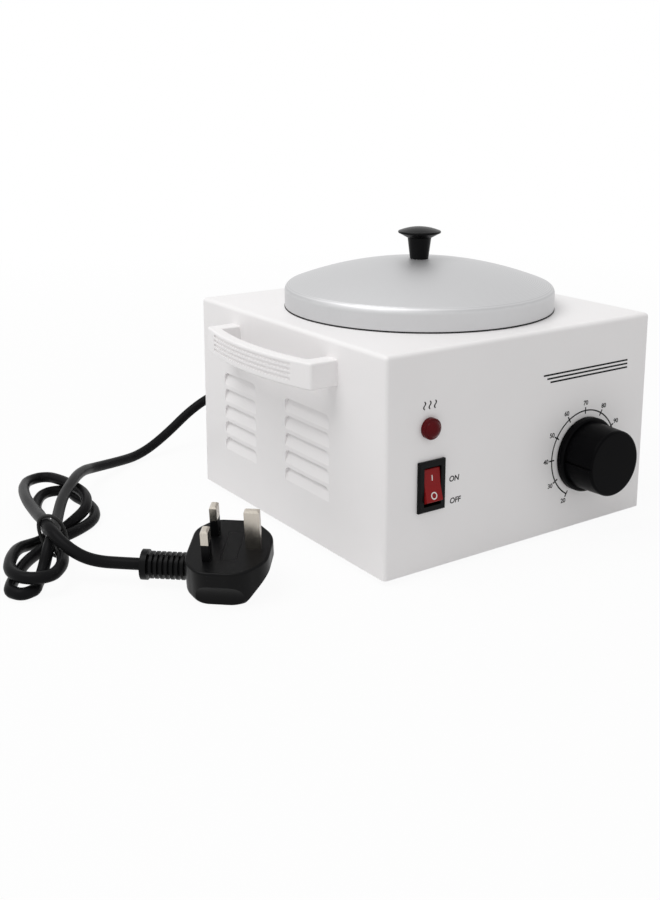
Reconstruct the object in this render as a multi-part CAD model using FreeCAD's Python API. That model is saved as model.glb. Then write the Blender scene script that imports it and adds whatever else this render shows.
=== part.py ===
import FreeCAD, Part
import math
import os

# Wax warmer: a white moulded housing with a heated round well, a lift-out wax pot under a domed
# lid, a capillary thermostat with its knob, a rocker switch, an indicator lamp and a mains lead.
# Millimetres, +Z up, the front panel faces -Y, the floor is z = 0.

V = FreeCAD.Vector
RIGHT = V(1, 0, 0)
REAR = V(0, 1, 0)
FRONT = V(0, -1, 0)
UP = V(0, 0, 1)
DOWN = V(0, 0, -1)
FULL_TURN = 360.0
HALF_TURN = 180.0

# Clearances shared by all pieces
OVERRUN = 4.0            # how far a cutter runs past the face it opens
SEAT_GAP = 0.3           # between two bodies that rest on each other
RUNNING_FIT = 0.06       # radial, shafts and pivots
SCREW_FIT = 0.25         # radial, screws in clearance holes
PILOT_FIT = 0.05         # radial, screws in the holes that they hold in
PANEL_FIT = 0.3          # around inserts in panel cut-outs

# Housing
HOUSING_W = 196.0
HOUSING_D = 194.0
HOUSING_H = 121.0
HOUSING_WALL = 3.0
HOUSING_EDGE_R = 2.4
BOSS_R = 5.2
BOSS_H = 16.0
BOSS_INSET = 7.5         # boss axis from the housing's outer faces

# Base plate and feet
BASE_T = 1.6
BASE_RECESS = 1.0        # underside of the plate above the housing's lower edge
BASE_GAP = 0.4
BASE_SCREW_R = 1.75
BASE_SCREW_L = 12.0
BASE_SCREW_HEAD_R = 3.4
BASE_SCREW_HEAD_H = 1.8
FOOT_H = 4.0
FOOT_R = 9.0
FOOT_TAPER = 1.5
FOOT_INSET = 30.0        # foot axis from the housing's outer faces
FOOT_SOCKET_H = 3.0
FOOT_SCREW_R = 1.75
FOOT_SCREW_L = 7.0
FOOT_SCREW_HEAD_R = 3.2
FOOT_SCREW_HEAD_H = 1.6

# Side louvres, two columns on each side
LOUVRE_COUNT = 5
LOUVRE_PITCH = 10.4
LOUVRE_TOP_Z = 81.0      # upper edge of the top louvre above the floor
LOUVRE_H = 8.2
LOUVRE_DEPTH = 2.2
LOUVRE_CORNER_R = 3.6
LOUVRE_SLOT_H = 0.8
LOUVRE_COLUMN_Y = (-23.5, 50.5)   # column centres from the housing's axis
LOUVRE_COLUMN_W = (45.0, 37.4)    # louvre widths, column by column

# Bow handles
HANDLE_L = 113.0
HANDLE_BACK = 2.5        # handle's middle behind the housing's, on the left side
HANDLE_H = 15.0
HANDLE_TOP_DROP = 10.0   # below the housing's top
HANDLE_REACH = 17.0      # stand-off at the ends
HANDLE_BOW = 8.0         # further stand-off at the middle
HANDLE_BAR_T = 7.0
HANDLE_ARM_T = 10.0
HANDLE_CORNER_R = 2.0
HANDLE_EDGE_R = 1.2
HANDLE_GROOVE_COUNT = 4
HANDLE_GROOVE_PITCH = 2.7
HANDLE_GROOVE_W = 1.5
HANDLE_GROOVE_DEPTH = 0.9
HANDLE_GROOVE_L = 84.0
HANDLE_GROOVE_RISE = 0.8 # groove centre above the handle's mid height
HANDLE_SCREW_R = 2.0
HANDLE_SCREW_L = 14.0
HANDLE_SCREW_HEAD_R = 3.8
HANDLE_SCREW_HEAD_H = 2.2

# Heating well and its gasket
WELL_WALL = 1.5
WELL_FLOOR = 2.0
WELL_DEPTH = 71.0        # from the housing's top to the inside of the floor
WELL_CORNER_R = 8.0
WELL_FLANGE_W = 8.0      # from the well's outer wall to the flange's rim
WELL_FLANGE_T = 1.2
WELL_FLANGE_GAP = 3.3    # inside the lid's skirt
WELL_HOLE_GAP = 0.5
GASKET_LIP = 0.2         # gasket past the lid's skirt
GASKET_T = 0.6
GASKET_GAP = 0.4

# Heater under the well
HEATER_INSET = 8.0       # heater's rim inside the well's wall
HEATER_BORE_R = 9.0
HEATER_T = 4.0
CLAMP_INSET = 4.0        # clamp plate's rim inside the heater's
CLAMP_T = 1.5
STUD_R = 3.0
STUD_L = 14.0
STUD_WASHER_R = 7.0
STUD_WASHER_T = 1.2
STUD_NUT_WIDTH = 10.0
STUD_NUT_T = 5.0
FUSE_R = 2.6
FUSE_L = 24.0
FUSE_BAND_T = 0.8
FUSE_BAND_W = 8.0
FUSE_OFFSET = 32.0       # fuse axis from the stud

# Inner pot
POT_GAP = 1.0            # between the pot's and the well's walls
POT_WALL = 1.2
POT_CORNER_R = 8.0
POT_FLANGE_STEP = 1.0    # pot's flange inside the well's

# Lid
LID_R = 82.0
LID_T = 1.2
LID_SKIRT_H = 9.3
LID_SHOULDER_R = 4.2
LID_H = 28.0
LID_KNOB_H = 19.4
LID_KNOB_CAP_R = 13.0
LID_KNOB_RIM_T = 3.9     # cap from its underside's edge to its top
LID_KNOB_FLARE_H = 2.8   # neck below the cap's edge
LID_KNOB_NECK_R = 7.2
LID_KNOB_FOOT_R = 5.6
LID_KNOB_CROWN = 2.4
LID_KNOB_EDGE_R = 0.7
LID_SCREW_R = 2.0
LID_SCREW_L = 10.0
LID_SCREW_HEAD_R = 3.8
LID_SCREW_HEAD_H = 2.0
LID_WASHER_R = 6.5
LID_WASHER_T = 0.8

# Thermostat and control knob
KNOB_X = 47.0
KNOB_Z = 46.4
KNOB_PROUD = 24.0        # from the front panel to the knob's face
KNOB_STANDOFF = 0.6
KNOB_FLANGE_R = 22.0
KNOB_FLANGE_T = 4.2
KNOB_GRIP_R = 19.8
KNOB_FACE_R = 19.2
KNOB_EDGE_R = 1.4
KNOB_STEP = 0.8          # groove between flange and grip
KNOB_SHELL = 2.4
KNOB_HUB_R = 6.0
KNOB_POINTER_W = 1.4
KNOB_POINTER_DEPTH = 0.6
KNOB_POINTER_ANGLE = 90.0    # towards the left of straight up
SHAFT_R = 3.0
SHAFT_IN_KNOB = 12.0
THERMOSTAT_W = 36.0
THERMOSTAT_H = 38.0
THERMOSTAT_D = 15.0
THERMOSTAT_EDGE_R = 2.0
THERMOSTAT_SCREW_R = 2.0
THERMOSTAT_SCREW_L = 9.0
THERMOSTAT_SCREW_HEAD_R = 3.6
THERMOSTAT_SCREW_HEAD_H = 1.6
THERMOSTAT_SCREW_SPAN = 24.0
BULB_R = 3.0
BULB_L = 60.0
BULB_GAP = 0.4
CAPILLARY_R = 1.0
CLIP_T = 0.8
CLIP_W = 10.0

# Rocker switch
SWITCH_X = -68.0
SWITCH_Z = 50.2
BEZEL_W = 17.9
BEZEL_H = 28.0
BEZEL_T = 2.0
BEZEL_EDGE_R = 0.8
SWITCH_W = 15.5
SWITCH_H = 25.2
SWITCH_D = 24.0
WINDOW_W = 11.5
WINDOW_H = 21.6
WINDOW_D = 10.0
ROCKER_W = 10.7
ROCKER_H = 19.8
ROCKER_FACE_H = 17.8
ROCKER_RISE = 3.8        # face in front of the pivot at mid length
ROCKER_BACK = 3.0
ROCKER_DISH = 5.0        # degrees that each half of the face leans in
ROCKER_TILT = 11.0       # degrees either side of level
ROCKER_EDGE_R = 0.6
PIVOT_SETBACK = 2.0      # behind the panel's outer face
PIVOT_R = 1.2
PIVOT_L = 1.0
TAB_W = 4.8
TAB_T = 0.8
TAB_L = 9.0
TAB_PITCH = 7.0

# Indicator lamp
LAMP_X = -69.3
LAMP_Z = 82.0
LAMP_R = 5.8
LAMP_RIM_T = 3.0
LAMP_DOME_H = 3.0
LAMP_STEP = 0.9
LAMP_BODY_R = 4.6
LAMP_BODY_L = 28.0
LAMP_NUT_R = 7.2
LAMP_NUT_T = 3.0

# Terminal block
BLOCK_W = 34.0
BLOCK_D = 18.0
BLOCK_H = 14.0
BLOCK_X = -30.0
BLOCK_BACK_GAP = 30.0    # from the rear panel's inside
BLOCK_WAYS = 3
BLOCK_BORE_R = 2.0
BLOCK_BORE_Z = 5.5
BLOCK_CLAMP_SHARES = (0.22, 0.78)   # clamp screws along the block's depth
BLOCK_SCREW_R = 1.7
BLOCK_SCREW_L = 7.0
BLOCK_SCREW_HEAD_R = 2.4
BLOCK_SCREW_HEAD_H = 1.0
WIRE_R = 1.3
WIRE_GRIP = 5.0          # length inside a terminal
WIRE_LEAD = 10.0         # straight length at a wire's end
WIRE_LOW_Z = 20.0        # height at which wires cross the floor of the housing
WIRE_WAY_SHARES = (0.3, 0.7)   # where a wire's low points lie between its ends
CORE_SPREAD = 2.0        # cores of the cord, from its axis
TAIL_L = 12.0            # cord sheath inside the housing
HEATER_LEAD_X = (-18.0, -32.0)
HEATER_LEAD_Y = 16.0

# Mains cord, its gland, hank and tie
CORD_R = 3.3
GLAND_X = -30.0
GLAND_Z = 47.5
GLAND_HOLE_R = 6.5
GLAND_FLANGE_R = 9.5
GLAND_FLANGE_T = 2.5
GLAND_SLEEVE_L = 24.0
GLAND_SLEEVE_R = 6.6
GLAND_TIP_R = 4.6
GLAND_RIBS = 5
GLAND_RIB_CUT = 0.9
GLAND_NUT_R = 9.0
GLAND_NUT_T = 4.0
GLAND_BORE_GAP = 0.1
CORNER_SHARE = 0.45      # of the shorter run, from a corner to its arc

HANK_X = -224.5          # the crossing's place on the floor
HANK_Y = 67.8
HANK_TURN = 24.4         # degrees from straight back towards the right
# The strands in winding order; each place has its distance along and across from the crossing,
# its height, its heading in degrees from along towards across, and its rise per length
STRAND_IN = (
    (106.5, 30.0, 9.0, 212.0, 0.25),
    (62.0, 17.0, 18.1, 190.0, 0.03),
    (35.0, 11.6, 18.4, 188.0, 0.0),
    (-11.1, 9.1, 17.8, 181.0, 0.0),
    (-30.0, 8.0, 17.6, 188.0, -0.06),
)
LOWER_LOOP_1 = (
    (-57.5, 1.8, 3.3, 192.0, 0.0),
    (-71.0, -6.0, 3.3, 270.0, 0.0),
    (-56.0, -12.4, 3.3, 365.0, 0.0),
    (-18.8, -3.0, 3.3, 388.0, 0.0),
)
UPPER_LOOP_1 = (
    (5.4, 12.0, 3.3, 44.0, 0.0),
    (36.7, 29.0, 3.3, -2.0, 0.0),
    (64.0, 18.2, 3.3, -33.0, 0.0),
    (81.5, 4.1, 3.3, -90.0, 0.0),
    (58.4, -5.8, 4.3, -176.0, 0.0),
    (5.3, 0.6, 10.7, -193.0, 0.0),
)
LOWER_LOOP_2 = (
    (-24.9, 9.0, 10.5, 166.0, 0.0),
    (-49.5, 13.6, 10.6, 180.0, 0.0),
    (-69.2, 4.0, 10.7, 270.0, 0.0),
    (-49.0, -14.6, 10.6, 362.0, 0.0),
    (-23.7, -12.2, 7.8, 381.0, -0.2),
    (1.7, -0.6, 3.4, 396.0, 0.0),
)
UPPER_LOOP_2 = (
    (18.0, 13.6, 5.4, 44.0, 0.3),
    (35.0, 22.8, 10.0, 2.0, 0.12),
    (58.0, 18.4, 10.8, -32.0, 0.0),
    (82.0, 1.8, 10.8, -40.0, 0.0),
    (88.0, -7.0, 10.6, -90.0, 0.0),
    (64.0, -14.8, 12.2, -178.0, 0.12),
)
STRAND_OUT = (
    (2.3, -4.2, 20.4, 166.0, 0.13),
    (-33.0, 5.4, 24.7, 163.0, 0.0),
    (-52.5, 17.5, 18.6, 100.0, -0.45),
)
HANK_STRANDS = (STRAND_IN, LOWER_LOOP_1, UPPER_LOOP_1, LOWER_LOOP_2, UPPER_LOOP_2, STRAND_OUT)
GAP_STEP = 1.0           # spacing of the points that the hank's own gaps are measured with
GAP_AWAY = 25.0          # length of cord between two points that count as different strands
# Free stretches between gland and hank and between hank and plug
LEAD_POINTS = (
    (-34.0, 161.8, 45.2),
    (-43.0, 173.4, 41.0),
    (-56.6, 181.2, 34.5),
    (-71.5, 183.3, 27.0),
    (-87.4, 181.6, 18.5),
    (-103.1, 178.5, 11.0),
    (-116.0, 174.6, 5.8),
    (-128.2, 169.4, 3.8),
)
CORD_RUN = 13.0          # straight run at each end of a free stretch
TIE_ALONG = -24.0        # from the crossing
TIE_R = 0.7
TIE_BEND_R = 3.0
# Across and height of the tie's corners, round the three strands that it holds
TIE_CORNERS = (
    (4.0, 5.9),
    (13.6, 5.9),
    (13.6, 20.4),
    (7.9, 29.2),
    (-1.9, 29.2),
    (-1.9, 20.4),
)

# Plug, lying on its back with the pins up
PLUG_BOOT_AT = (-199.4, -9.0)
PLUG_FLOOR_GAP = 0.1     # under its lower edge
PLUG_HEADING = -41.0     # degrees from +X
PLUG_TILT = 12.0
BOOT_L = 26.0
BOOT_COLLAR_R = 8.0
BOOT_COLLAR_L = 3.4
BOOT_RIB_COUNT = 8
BOOT_RIB_R = 7.2
BOOT_ROOT_R = 5.2
PLUG_L = 43.0
PLUG_W = 49.0
PLUG_NECK_W = 29.0
PLUG_TOE_W = 23.0
PLUG_SHOULDER_L = 9.0
PLUG_TOE_L = 12.0
PLUG_FACE = 14.0         # pin face above the cord's axis
PLUG_BACK = 6.5          # back below the cord's axis
PLUG_TOE_CUT = 12.0      # bevel under the toe
PLUG_EDGE_R = 12.0       # corners beside the boot
PLUG_TOE_R = 16.0        # corners at the toe
PLUG_BACK_EDGE_R = 4.0
PLUG_FACE_EDGE_R = 1.2
PLUG_GRIP_R = 14.0
PLUG_GRIP_DEPTH = 2.4
PLUG_GRIP_L = 26.0
PLUG_GRIP_DROP = 2.0     # dent's middle below the cord's axis
EARTH_INSET = 9.0        # earth pin from the toe of the plug
EARTH_L = 22.7
EARTH_W = 7.95
EARTH_T = 3.97
PIN_SPAN = 22.2
PIN_L = 17.7
PIN_W = 6.35
PIN_T = 3.97
PIN_ROOT = 5.0           # length held in the plug
PIN_TIP_CUT = 1.0
SLEEVE_L = 9.5
SLEEVE_T = 0.8
FUSE_COVER_L = 25.0
FUSE_COVER_W = 8.0
FUSE_COVER_T = 1.6
FUSE_COVER_GAP = 0.15

# Places worked out from the sizes above
HOUSING_Y = KNOB_PROUD / 2
FRONT_Y = HOUSING_Y - HOUSING_D / 2
BACK_Y = HOUSING_Y + HOUSING_D / 2
SIDE_X = HOUSING_W / 2
HANDLE_Y = HOUSING_Y + HANDLE_BACK
HOUSING_Z = FOOT_H - BASE_RECESS
TOP_Z = HOUSING_Z + HOUSING_H
BASE_Z = FOOT_H
INSIDE_FRONT_Y = FRONT_Y + HOUSING_WALL
INSIDE_BACK_Y = BACK_Y - HOUSING_WALL
INSIDE_TOP_Z = TOP_Z - HOUSING_WALL
BASE_TOP_Z = BASE_Z + BASE_T
WELL_FLOOR_Z = TOP_Z - WELL_DEPTH
WELL_UNDER_Z = WELL_FLOOR_Z - WELL_FLOOR
WELL_FLANGE_R = LID_R - LID_T - WELL_FLANGE_GAP
WELL_OUTER_R = WELL_FLANGE_R - WELL_FLANGE_W
WELL_R = WELL_OUTER_R - WELL_WALL
GASKET_R = LID_R + GASKET_LIP
HEATER_R = WELL_R - HEATER_INSET
CLAMP_R = HEATER_R - CLAMP_INSET
POT_R = WELL_R - POT_GAP
POT_FLANGE_R = WELL_FLANGE_R - POT_FLANGE_STEP
POT_RIM_Z = TOP_Z + WELL_FLANGE_T + SEAT_GAP
POT_UNDER_Z = WELL_FLOOR_Z + SEAT_GAP
LID_Z = TOP_Z + GASKET_T + SEAT_GAP
LID_TOP_Z = LID_Z + LID_H
CLAMP_UNDER_Z = WELL_UNDER_Z - HEATER_T - CLAMP_T
POT_AXIS = V(0, HOUSING_Y, 0)
PLUG_LEAN = math.radians(PLUG_TILT)
# The plug leans over on the rounded edge of its back
PLUG_AXIS_Z = (
    PLUG_FLOOR_GAP
    + PLUG_BACK_EDGE_R
    + (PLUG_BACK - PLUG_BACK_EDGE_R) * math.cos(PLUG_LEAN)
    + (PLUG_W / 2 - PLUG_BACK_EDGE_R) * math.sin(PLUG_LEAN)
)


def box(x0, x1, y0, y1, z0, z1):
    return Part.makeBox(x1 - x0, y1 - y0, z1 - z0, V(x0, y0, z0))


def rod(base, direction, radius, length):
    return Part.makeCylinder(radius, length, base, direction)


def closed_face(items, place):
    """Face inside an outline. An item is a point, or a (through, end) pair for an arc."""
    edges = []
    here = place(items[0])
    for item in items[1:] + items[:1]:
        if isinstance(item[0], tuple):
            end = place(item[1])
            edges.append(Part.Arc(here, place(item[0]), end).toShape())
        else:
            end = place(item)
            edges.append(Part.LineSegment(here, end).toShape())
        here = end
    return Part.Face(Part.Wire(edges))


def turned(items, base, axis):
    """Solid of revolution from (radius, height) outline items about an axis."""
    side = REAR if abs(axis.x) > abs(axis.y) else RIGHT
    face = closed_face(items, lambda p: base + side * p[0] + axis * p[1])
    solid = face.revolve(base, axis, FULL_TURN)
    if solid.Volume < 0:
        solid.reverse()
    return solid


def extruded(items, place, along):
    solid = closed_face(items, place).extrude(along)
    if solid.Volume < 0:
        solid.reverse()
    return solid


def quarter(centre, radius, start, end):
    """(through, end) pair of an arc about a centre in an outline, angles in degrees."""
    def at(angle):
        turn = math.radians(angle)
        return (centre[0] + radius * math.cos(turn), centre[1] + radius * math.sin(turn))
    return (at((start + end) / 2), at(end))


def edges_along(shape, direction):
    """Straight edges of a shape that run along a direction."""
    found = []
    for edge in shape.Edges:
        if not isinstance(edge.Curve, Part.Line):
            continue
        if edge.tangentAt(edge.FirstParameter).cross(direction).Length < 1e-6:
            found.append(edge)
    return found


def rounded_slab(x0, x1, y0, y1, z0, z1, radius, direction):
    slab = box(x0, x1, y0, y1, z0, z1)
    return slab.makeFillet(radius, edges_along(slab, direction))


def screw(seat, direction, radius, length, head_r, head_h):
    """Pan-head screw: its head stands on the seat, its shank runs along the direction."""
    items = [
        (0, -head_h),
        (head_r - head_h / 2, -head_h),
        quarter((head_r - head_h / 2, -head_h / 2), head_h / 2, -90, 0),
        (head_r, 0),
        (radius, 0),
        (radius, length),
        (0, length),
    ]
    return turned(items, seat, direction)


def hexagon(centre, direction, width, thickness, bore_r):
    """Hexagon nut: width across flats, its bore along the direction."""
    corner_r = width / 2 / math.cos(math.pi / 6)
    side = REAR if abs(direction.x) > abs(direction.y) else RIGHT
    across = direction.cross(side)
    corners = []
    for step in range(6):
        turn = math.pi / 3 * step
        corners.append((corner_r * math.cos(turn), corner_r * math.sin(turn)))
    nut = extruded(corners, lambda p: centre + side * p[0] + across * p[1], direction * thickness)
    return nut.cut(rod(centre - direction * OVERRUN, direction, bore_r, thickness + 2 * OVERRUN))


def unit(vector):
    return vector * (1 / vector.Length)


def route_wire(points):
    """Straight runs joined by the largest tangent arcs that the runs allow, and the arcs' radii."""
    edges = []
    radii = []
    here = points[0]
    for before, corner, after in zip(points, points[1:], points[2:]):
        back, on = unit(before - corner), unit(after - corner)
        half = back.getAngle(on) / 2
        reach = CORNER_SHARE * min((before - corner).Length, (after - corner).Length)
        radius = reach * math.tan(half)
        inward = unit(back + on)
        centre = corner + inward * (reach / math.cos(half))
        start, end = corner + back * reach, corner + on * reach
        edges.append(Part.LineSegment(here, start).toShape())
        edges.append(Part.Arc(start, centre - inward * radius, end).toShape())
        radii.append(radius)
        here = end
    edges.append(Part.LineSegment(here, points[-1]).toShape())
    return Part.Wire(edges), radii


def swept(wire, start, heading, radius):
    ring = Part.Wire(Part.Circle(start, heading, radius).toShape())
    solid = wire.makePipeShell([ring], True, False)
    solid = solid if solid.ShapeType == "Solid" else Part.Solid(solid)
    if solid.Volume < 0:
        solid.reverse()
    return solid


def tube(points, radius, name):
    wire, radii = route_wire(points)
    solid = swept(wire, points[0], points[1] - points[0], radius)
    expected = math.pi * radius ** 2 * wire.Length
    print(f"{name}: length {wire.Length:.1f}, volume / section x length {solid.Volume / expected:.4f},",
          f"least bend radius {min(radii):.1f}")
    return solid


def save(name, shape):
    shape.exportStep(f"parts/{name}.step")


def save_group(name, shapes):
    save(name, Part.makeCompound(shapes))


def corner_places(inset):
    """The four places at an inset from the housing's outer faces."""
    x, y = SIDE_X - inset, HOUSING_D / 2 - inset
    return [V(way * x, HOUSING_Y + other * y, 0) for way in (-1, 1) for other in (-1, 1)]


def handle_screw_places():
    """Handle screw axes on the left side, at mid height of the handle."""
    z = TOP_Z - HANDLE_TOP_DROP - HANDLE_H / 2
    reach = HANDLE_L / 2 - HANDLE_ARM_T / 2
    return [V(-SIDE_X, HANDLE_Y + way * reach, z) for way in (-1, 1)]


def thermostat_screw_places():
    half = THERMOSTAT_SCREW_SPAN / 2
    return [V(KNOB_X + way * half, FRONT_Y, KNOB_Z) for way in (-1, 1)]


def to_right_side(shape):
    """Copy of a left-hand piece turned half round about the pot's axis."""
    turned_copy = shape.copy()
    turned_copy.rotate(POT_AXIS, UP, HALF_TURN)
    return turned_copy


def louvre_cutters():
    """Wedge pockets, deep at their upper edge, with a slot through the wall there."""
    cutters = []
    for column_y, column_w in zip(LOUVRE_COLUMN_Y, LOUVRE_COLUMN_W):
        y0 = HOUSING_Y + column_y - column_w / 2
        y1 = y0 + column_w
        for row in range(LOUVRE_COUNT):
            top = LOUVRE_TOP_Z - row * LOUVRE_PITCH
            wedge = extruded(
                [(-SIDE_X, top - LOUVRE_H), (-SIDE_X + LOUVRE_DEPTH, top - LOUVRE_SLOT_H),
                 (-SIDE_X + LOUVRE_DEPTH, top), (-SIDE_X - OVERRUN, top),
                 (-SIDE_X - OVERRUN, top - LOUVRE_H)],
                lambda p: V(p[0], y0, p[1]), REAR * column_w)
            outline = rounded_slab(-SIDE_X - OVERRUN, -SIDE_X + LOUVRE_DEPTH, y0, y1,
                                   top - 2 * LOUVRE_H, top, LOUVRE_CORNER_R, RIGHT)
            slot = box(-SIDE_X - OVERRUN, -SIDE_X + HOUSING_WALL + OVERRUN,
                       y0 + LOUVRE_CORNER_R, y1 - LOUVRE_CORNER_R, top - LOUVRE_SLOT_H, top)
            cutters.append(wedge.common(outline).fuse(slot))
    return cutters


def make_housing():
    outer = box(-SIDE_X, SIDE_X, FRONT_Y, BACK_Y, HOUSING_Z, TOP_Z)
    upper = [edge for edge in outer.Edges if edge.BoundBox.ZMax > HOUSING_Z + HOUSING_EDGE_R]
    outer = outer.makeFillet(HOUSING_EDGE_R, upper)
    inner = rounded_slab(-SIDE_X + HOUSING_WALL, SIDE_X - HOUSING_WALL, INSIDE_FRONT_Y, INSIDE_BACK_Y,
                         HOUSING_Z - OVERRUN, INSIDE_TOP_Z, HOUSING_EDGE_R - HOUSING_WALL / 2, UP)
    shell = outer.cut(inner)
    for place in corner_places(BOSS_INSET):
        boss = rod(place + UP * BASE_TOP_Z, UP, BOSS_R, BOSS_H)
        pilot = rod(place + UP * (BASE_TOP_Z - OVERRUN), UP, BASE_SCREW_R + PILOT_FIT, BASE_SCREW_L + OVERRUN)
        shell = shell.fuse(boss.common(outer)).cut(pilot)
    well_hole_r = WELL_OUTER_R + WELL_HOLE_GAP
    cutters = [rod(POT_AXIS + UP * (INSIDE_TOP_Z - OVERRUN), UP, well_hole_r, HOUSING_WALL + 2 * OVERRUN)]
    through = HOUSING_WALL + 2 * OVERRUN
    shaft_hole = V(KNOB_X, FRONT_Y - OVERRUN, KNOB_Z)
    cutters.append(rod(shaft_hole, REAR, SHAFT_R + PANEL_FIT, through))
    for place in thermostat_screw_places():
        cutters.append(rod(place + FRONT * OVERRUN, REAR, THERMOSTAT_SCREW_R + SCREW_FIT, through))
    half_w, half_h = SWITCH_W / 2 + PANEL_FIT, SWITCH_H / 2 + PANEL_FIT
    cutters.append(box(SWITCH_X - half_w, SWITCH_X + half_w, FRONT_Y - OVERRUN, INSIDE_FRONT_Y + OVERRUN,
                       SWITCH_Z - half_h, SWITCH_Z + half_h))
    cutters.append(rod(V(LAMP_X, FRONT_Y - OVERRUN, LAMP_Z), REAR, LAMP_BODY_R + PANEL_FIT, through))
    cutters.append(rod(V(GLAND_X, BACK_Y + OVERRUN, GLAND_Z), FRONT, GLAND_HOLE_R + GLAND_BORE_GAP, through))
    side_cutters = louvre_cutters()
    for place in handle_screw_places():
        side_cutters.append(rod(place - RIGHT * OVERRUN, RIGHT, HANDLE_SCREW_R + SCREW_FIT, through))
    for cutter in side_cutters:
        cutters += [cutter, to_right_side(cutter)]
    save("housing_shell", shell.cut(cutters))


def make_base():
    inset = HOUSING_WALL + BASE_GAP
    plate = rounded_slab(-SIDE_X + inset, SIDE_X - inset, FRONT_Y + inset, BACK_Y - inset,
                         BASE_Z, BASE_TOP_Z, HOUSING_EDGE_R - HOUSING_WALL / 2, UP)
    holes = []
    base_screws = []
    feet = []
    foot_screws = []
    for place in corner_places(BOSS_INSET):
        seat = place + UP * BASE_Z
        holes.append(rod(seat - UP * OVERRUN, UP, BASE_SCREW_R + SCREW_FIT, BASE_T + 2 * OVERRUN))
        base_screws.append(screw(seat, UP, BASE_SCREW_R, BASE_SCREW_L, BASE_SCREW_HEAD_R, BASE_SCREW_HEAD_H))
    for place in corner_places(FOOT_INSET):
        foot = turned([
            (FOOT_SCREW_R + SCREW_FIT, FOOT_SOCKET_H),
            (FOOT_SCREW_HEAD_R + SCREW_FIT, FOOT_SOCKET_H),
            (FOOT_SCREW_HEAD_R + SCREW_FIT, 0),
            (FOOT_R - FOOT_TAPER, 0),
            (FOOT_R, FOOT_H),
            (FOOT_SCREW_R + SCREW_FIT, FOOT_H),
        ], place, UP)
        feet.append(foot)
        holes.append(rod(place + UP * (BASE_Z - OVERRUN), UP, FOOT_SCREW_R + PILOT_FIT, BASE_T + 2 * OVERRUN))
        foot_screws.append(screw(place + UP * FOOT_SOCKET_H, UP, FOOT_SCREW_R, FOOT_SCREW_L,
                                 FOOT_SCREW_HEAD_R, FOOT_SCREW_HEAD_H))
    for place in block_screw_places():
        holes.append(rod(place - UP * OVERRUN, UP, BLOCK_SCREW_R + PILOT_FIT, 2 * OVERRUN))
    save("base_plate", plate.cut(holes))
    save_group("base_screws", base_screws)
    save_group("rubber_feet", feet)
    save_group("foot_screws", foot_screws)


def make_handles():
    """Two arms square to the side and a bowed bar, ribbed outside."""
    half = HANDLE_L / 2
    crown = HANDLE_REACH + HANDLE_BOW
    bow_r = (half ** 2 + HANDLE_BOW ** 2) / (2 * HANDLE_BOW)
    bow_out = crown - bow_r
    inner_r = bow_r - HANDLE_BAR_T
    arm = half - HANDLE_ARM_T
    inner_out = bow_out + math.sqrt(inner_r ** 2 - arm ** 2)
    z0 = TOP_Z - HANDLE_TOP_DROP - HANDLE_H
    outline = [
        (0, -half),
        (HANDLE_REACH, -half),
        ((crown, 0), (HANDLE_REACH, half)),
        (0, half),
        (0, arm),
        (inner_out, arm),
        ((bow_out + inner_r, 0), (inner_out, -arm)),
        (0, -arm),
    ]
    bar = extruded(outline, lambda p: V(-SIDE_X - p[0], HANDLE_Y + p[1], z0), UP * HANDLE_H)
    uprights = [edge for edge in edges_along(bar, UP) if edge.BoundBox.XMax < -SIDE_X - HANDLE_EDGE_R]
    bar = bar.makeFillet(HANDLE_CORNER_R, uprights)
    rims = [edge for edge in bar.Edges
            if edge.BoundBox.ZLength < HANDLE_EDGE_R and edge.BoundBox.XMin < -SIDE_X - HANDLE_EDGE_R]
    bar = bar.makeFillet(HANDLE_EDGE_R, rims)
    bow_axis = V(-SIDE_X - bow_out, HANDLE_Y, z0)
    spread = math.degrees(HANDLE_GROOVE_L / bow_r)
    for index in range(HANDLE_GROOVE_COUNT):
        rise = (index - (HANDLE_GROOVE_COUNT - 1) / 2) * HANDLE_GROOVE_PITCH + HANDLE_GROOVE_RISE
        base = bow_axis + UP * (HANDLE_H / 2 + rise - HANDLE_GROOVE_W / 2)
        disc = Part.makeCylinder(bow_r + OVERRUN, HANDLE_GROOVE_W, base, UP, spread)
        core = rod(base - UP * OVERRUN, UP, bow_r - HANDLE_GROOVE_DEPTH, HANDLE_GROOVE_W + 2 * OVERRUN)
        groove = disc.cut(core)
        groove.rotate(bow_axis, UP, HALF_TURN - spread / 2)
        bar = bar.cut(groove)
    screws = []
    for place in handle_screw_places():
        pilot_l = HANDLE_SCREW_L + OVERRUN
        bar = bar.cut(rod(place + RIGHT * OVERRUN, -RIGHT, HANDLE_SCREW_R + PILOT_FIT, pilot_l))
        seat = place + RIGHT * HOUSING_WALL
        one = screw(seat, -RIGHT, HANDLE_SCREW_R, HANDLE_SCREW_L, HANDLE_SCREW_HEAD_R, HANDLE_SCREW_HEAD_H)
        screws += [one, to_right_side(one)]
    save("handle_left", bar)
    save("handle_right", to_right_side(bar))
    save_group("handle_screws", screws)


def cup(rim_z, under_z, outer_r, wall, floor_t, corner_r, flange_r, flange_t):
    """Pressed cup with a flat flange at its rim, about the pot's axis."""
    inner_r = outer_r - wall
    inner_corner_r = corner_r - wall
    floor_z = under_z + floor_t
    items = [
        (0, under_z),
        (outer_r - corner_r, under_z),
        quarter((outer_r - corner_r, under_z + corner_r), corner_r, -90, 0),
        (outer_r, rim_z),
        (flange_r, rim_z),
        (flange_r, rim_z + flange_t),
        (inner_r, rim_z + flange_t),
        (inner_r, floor_z + inner_corner_r),
        quarter((inner_r - inner_corner_r, floor_z + inner_corner_r), inner_corner_r, 0, -90),
        (0, floor_z),
    ]
    return turned(items, POT_AXIS, UP)


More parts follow.
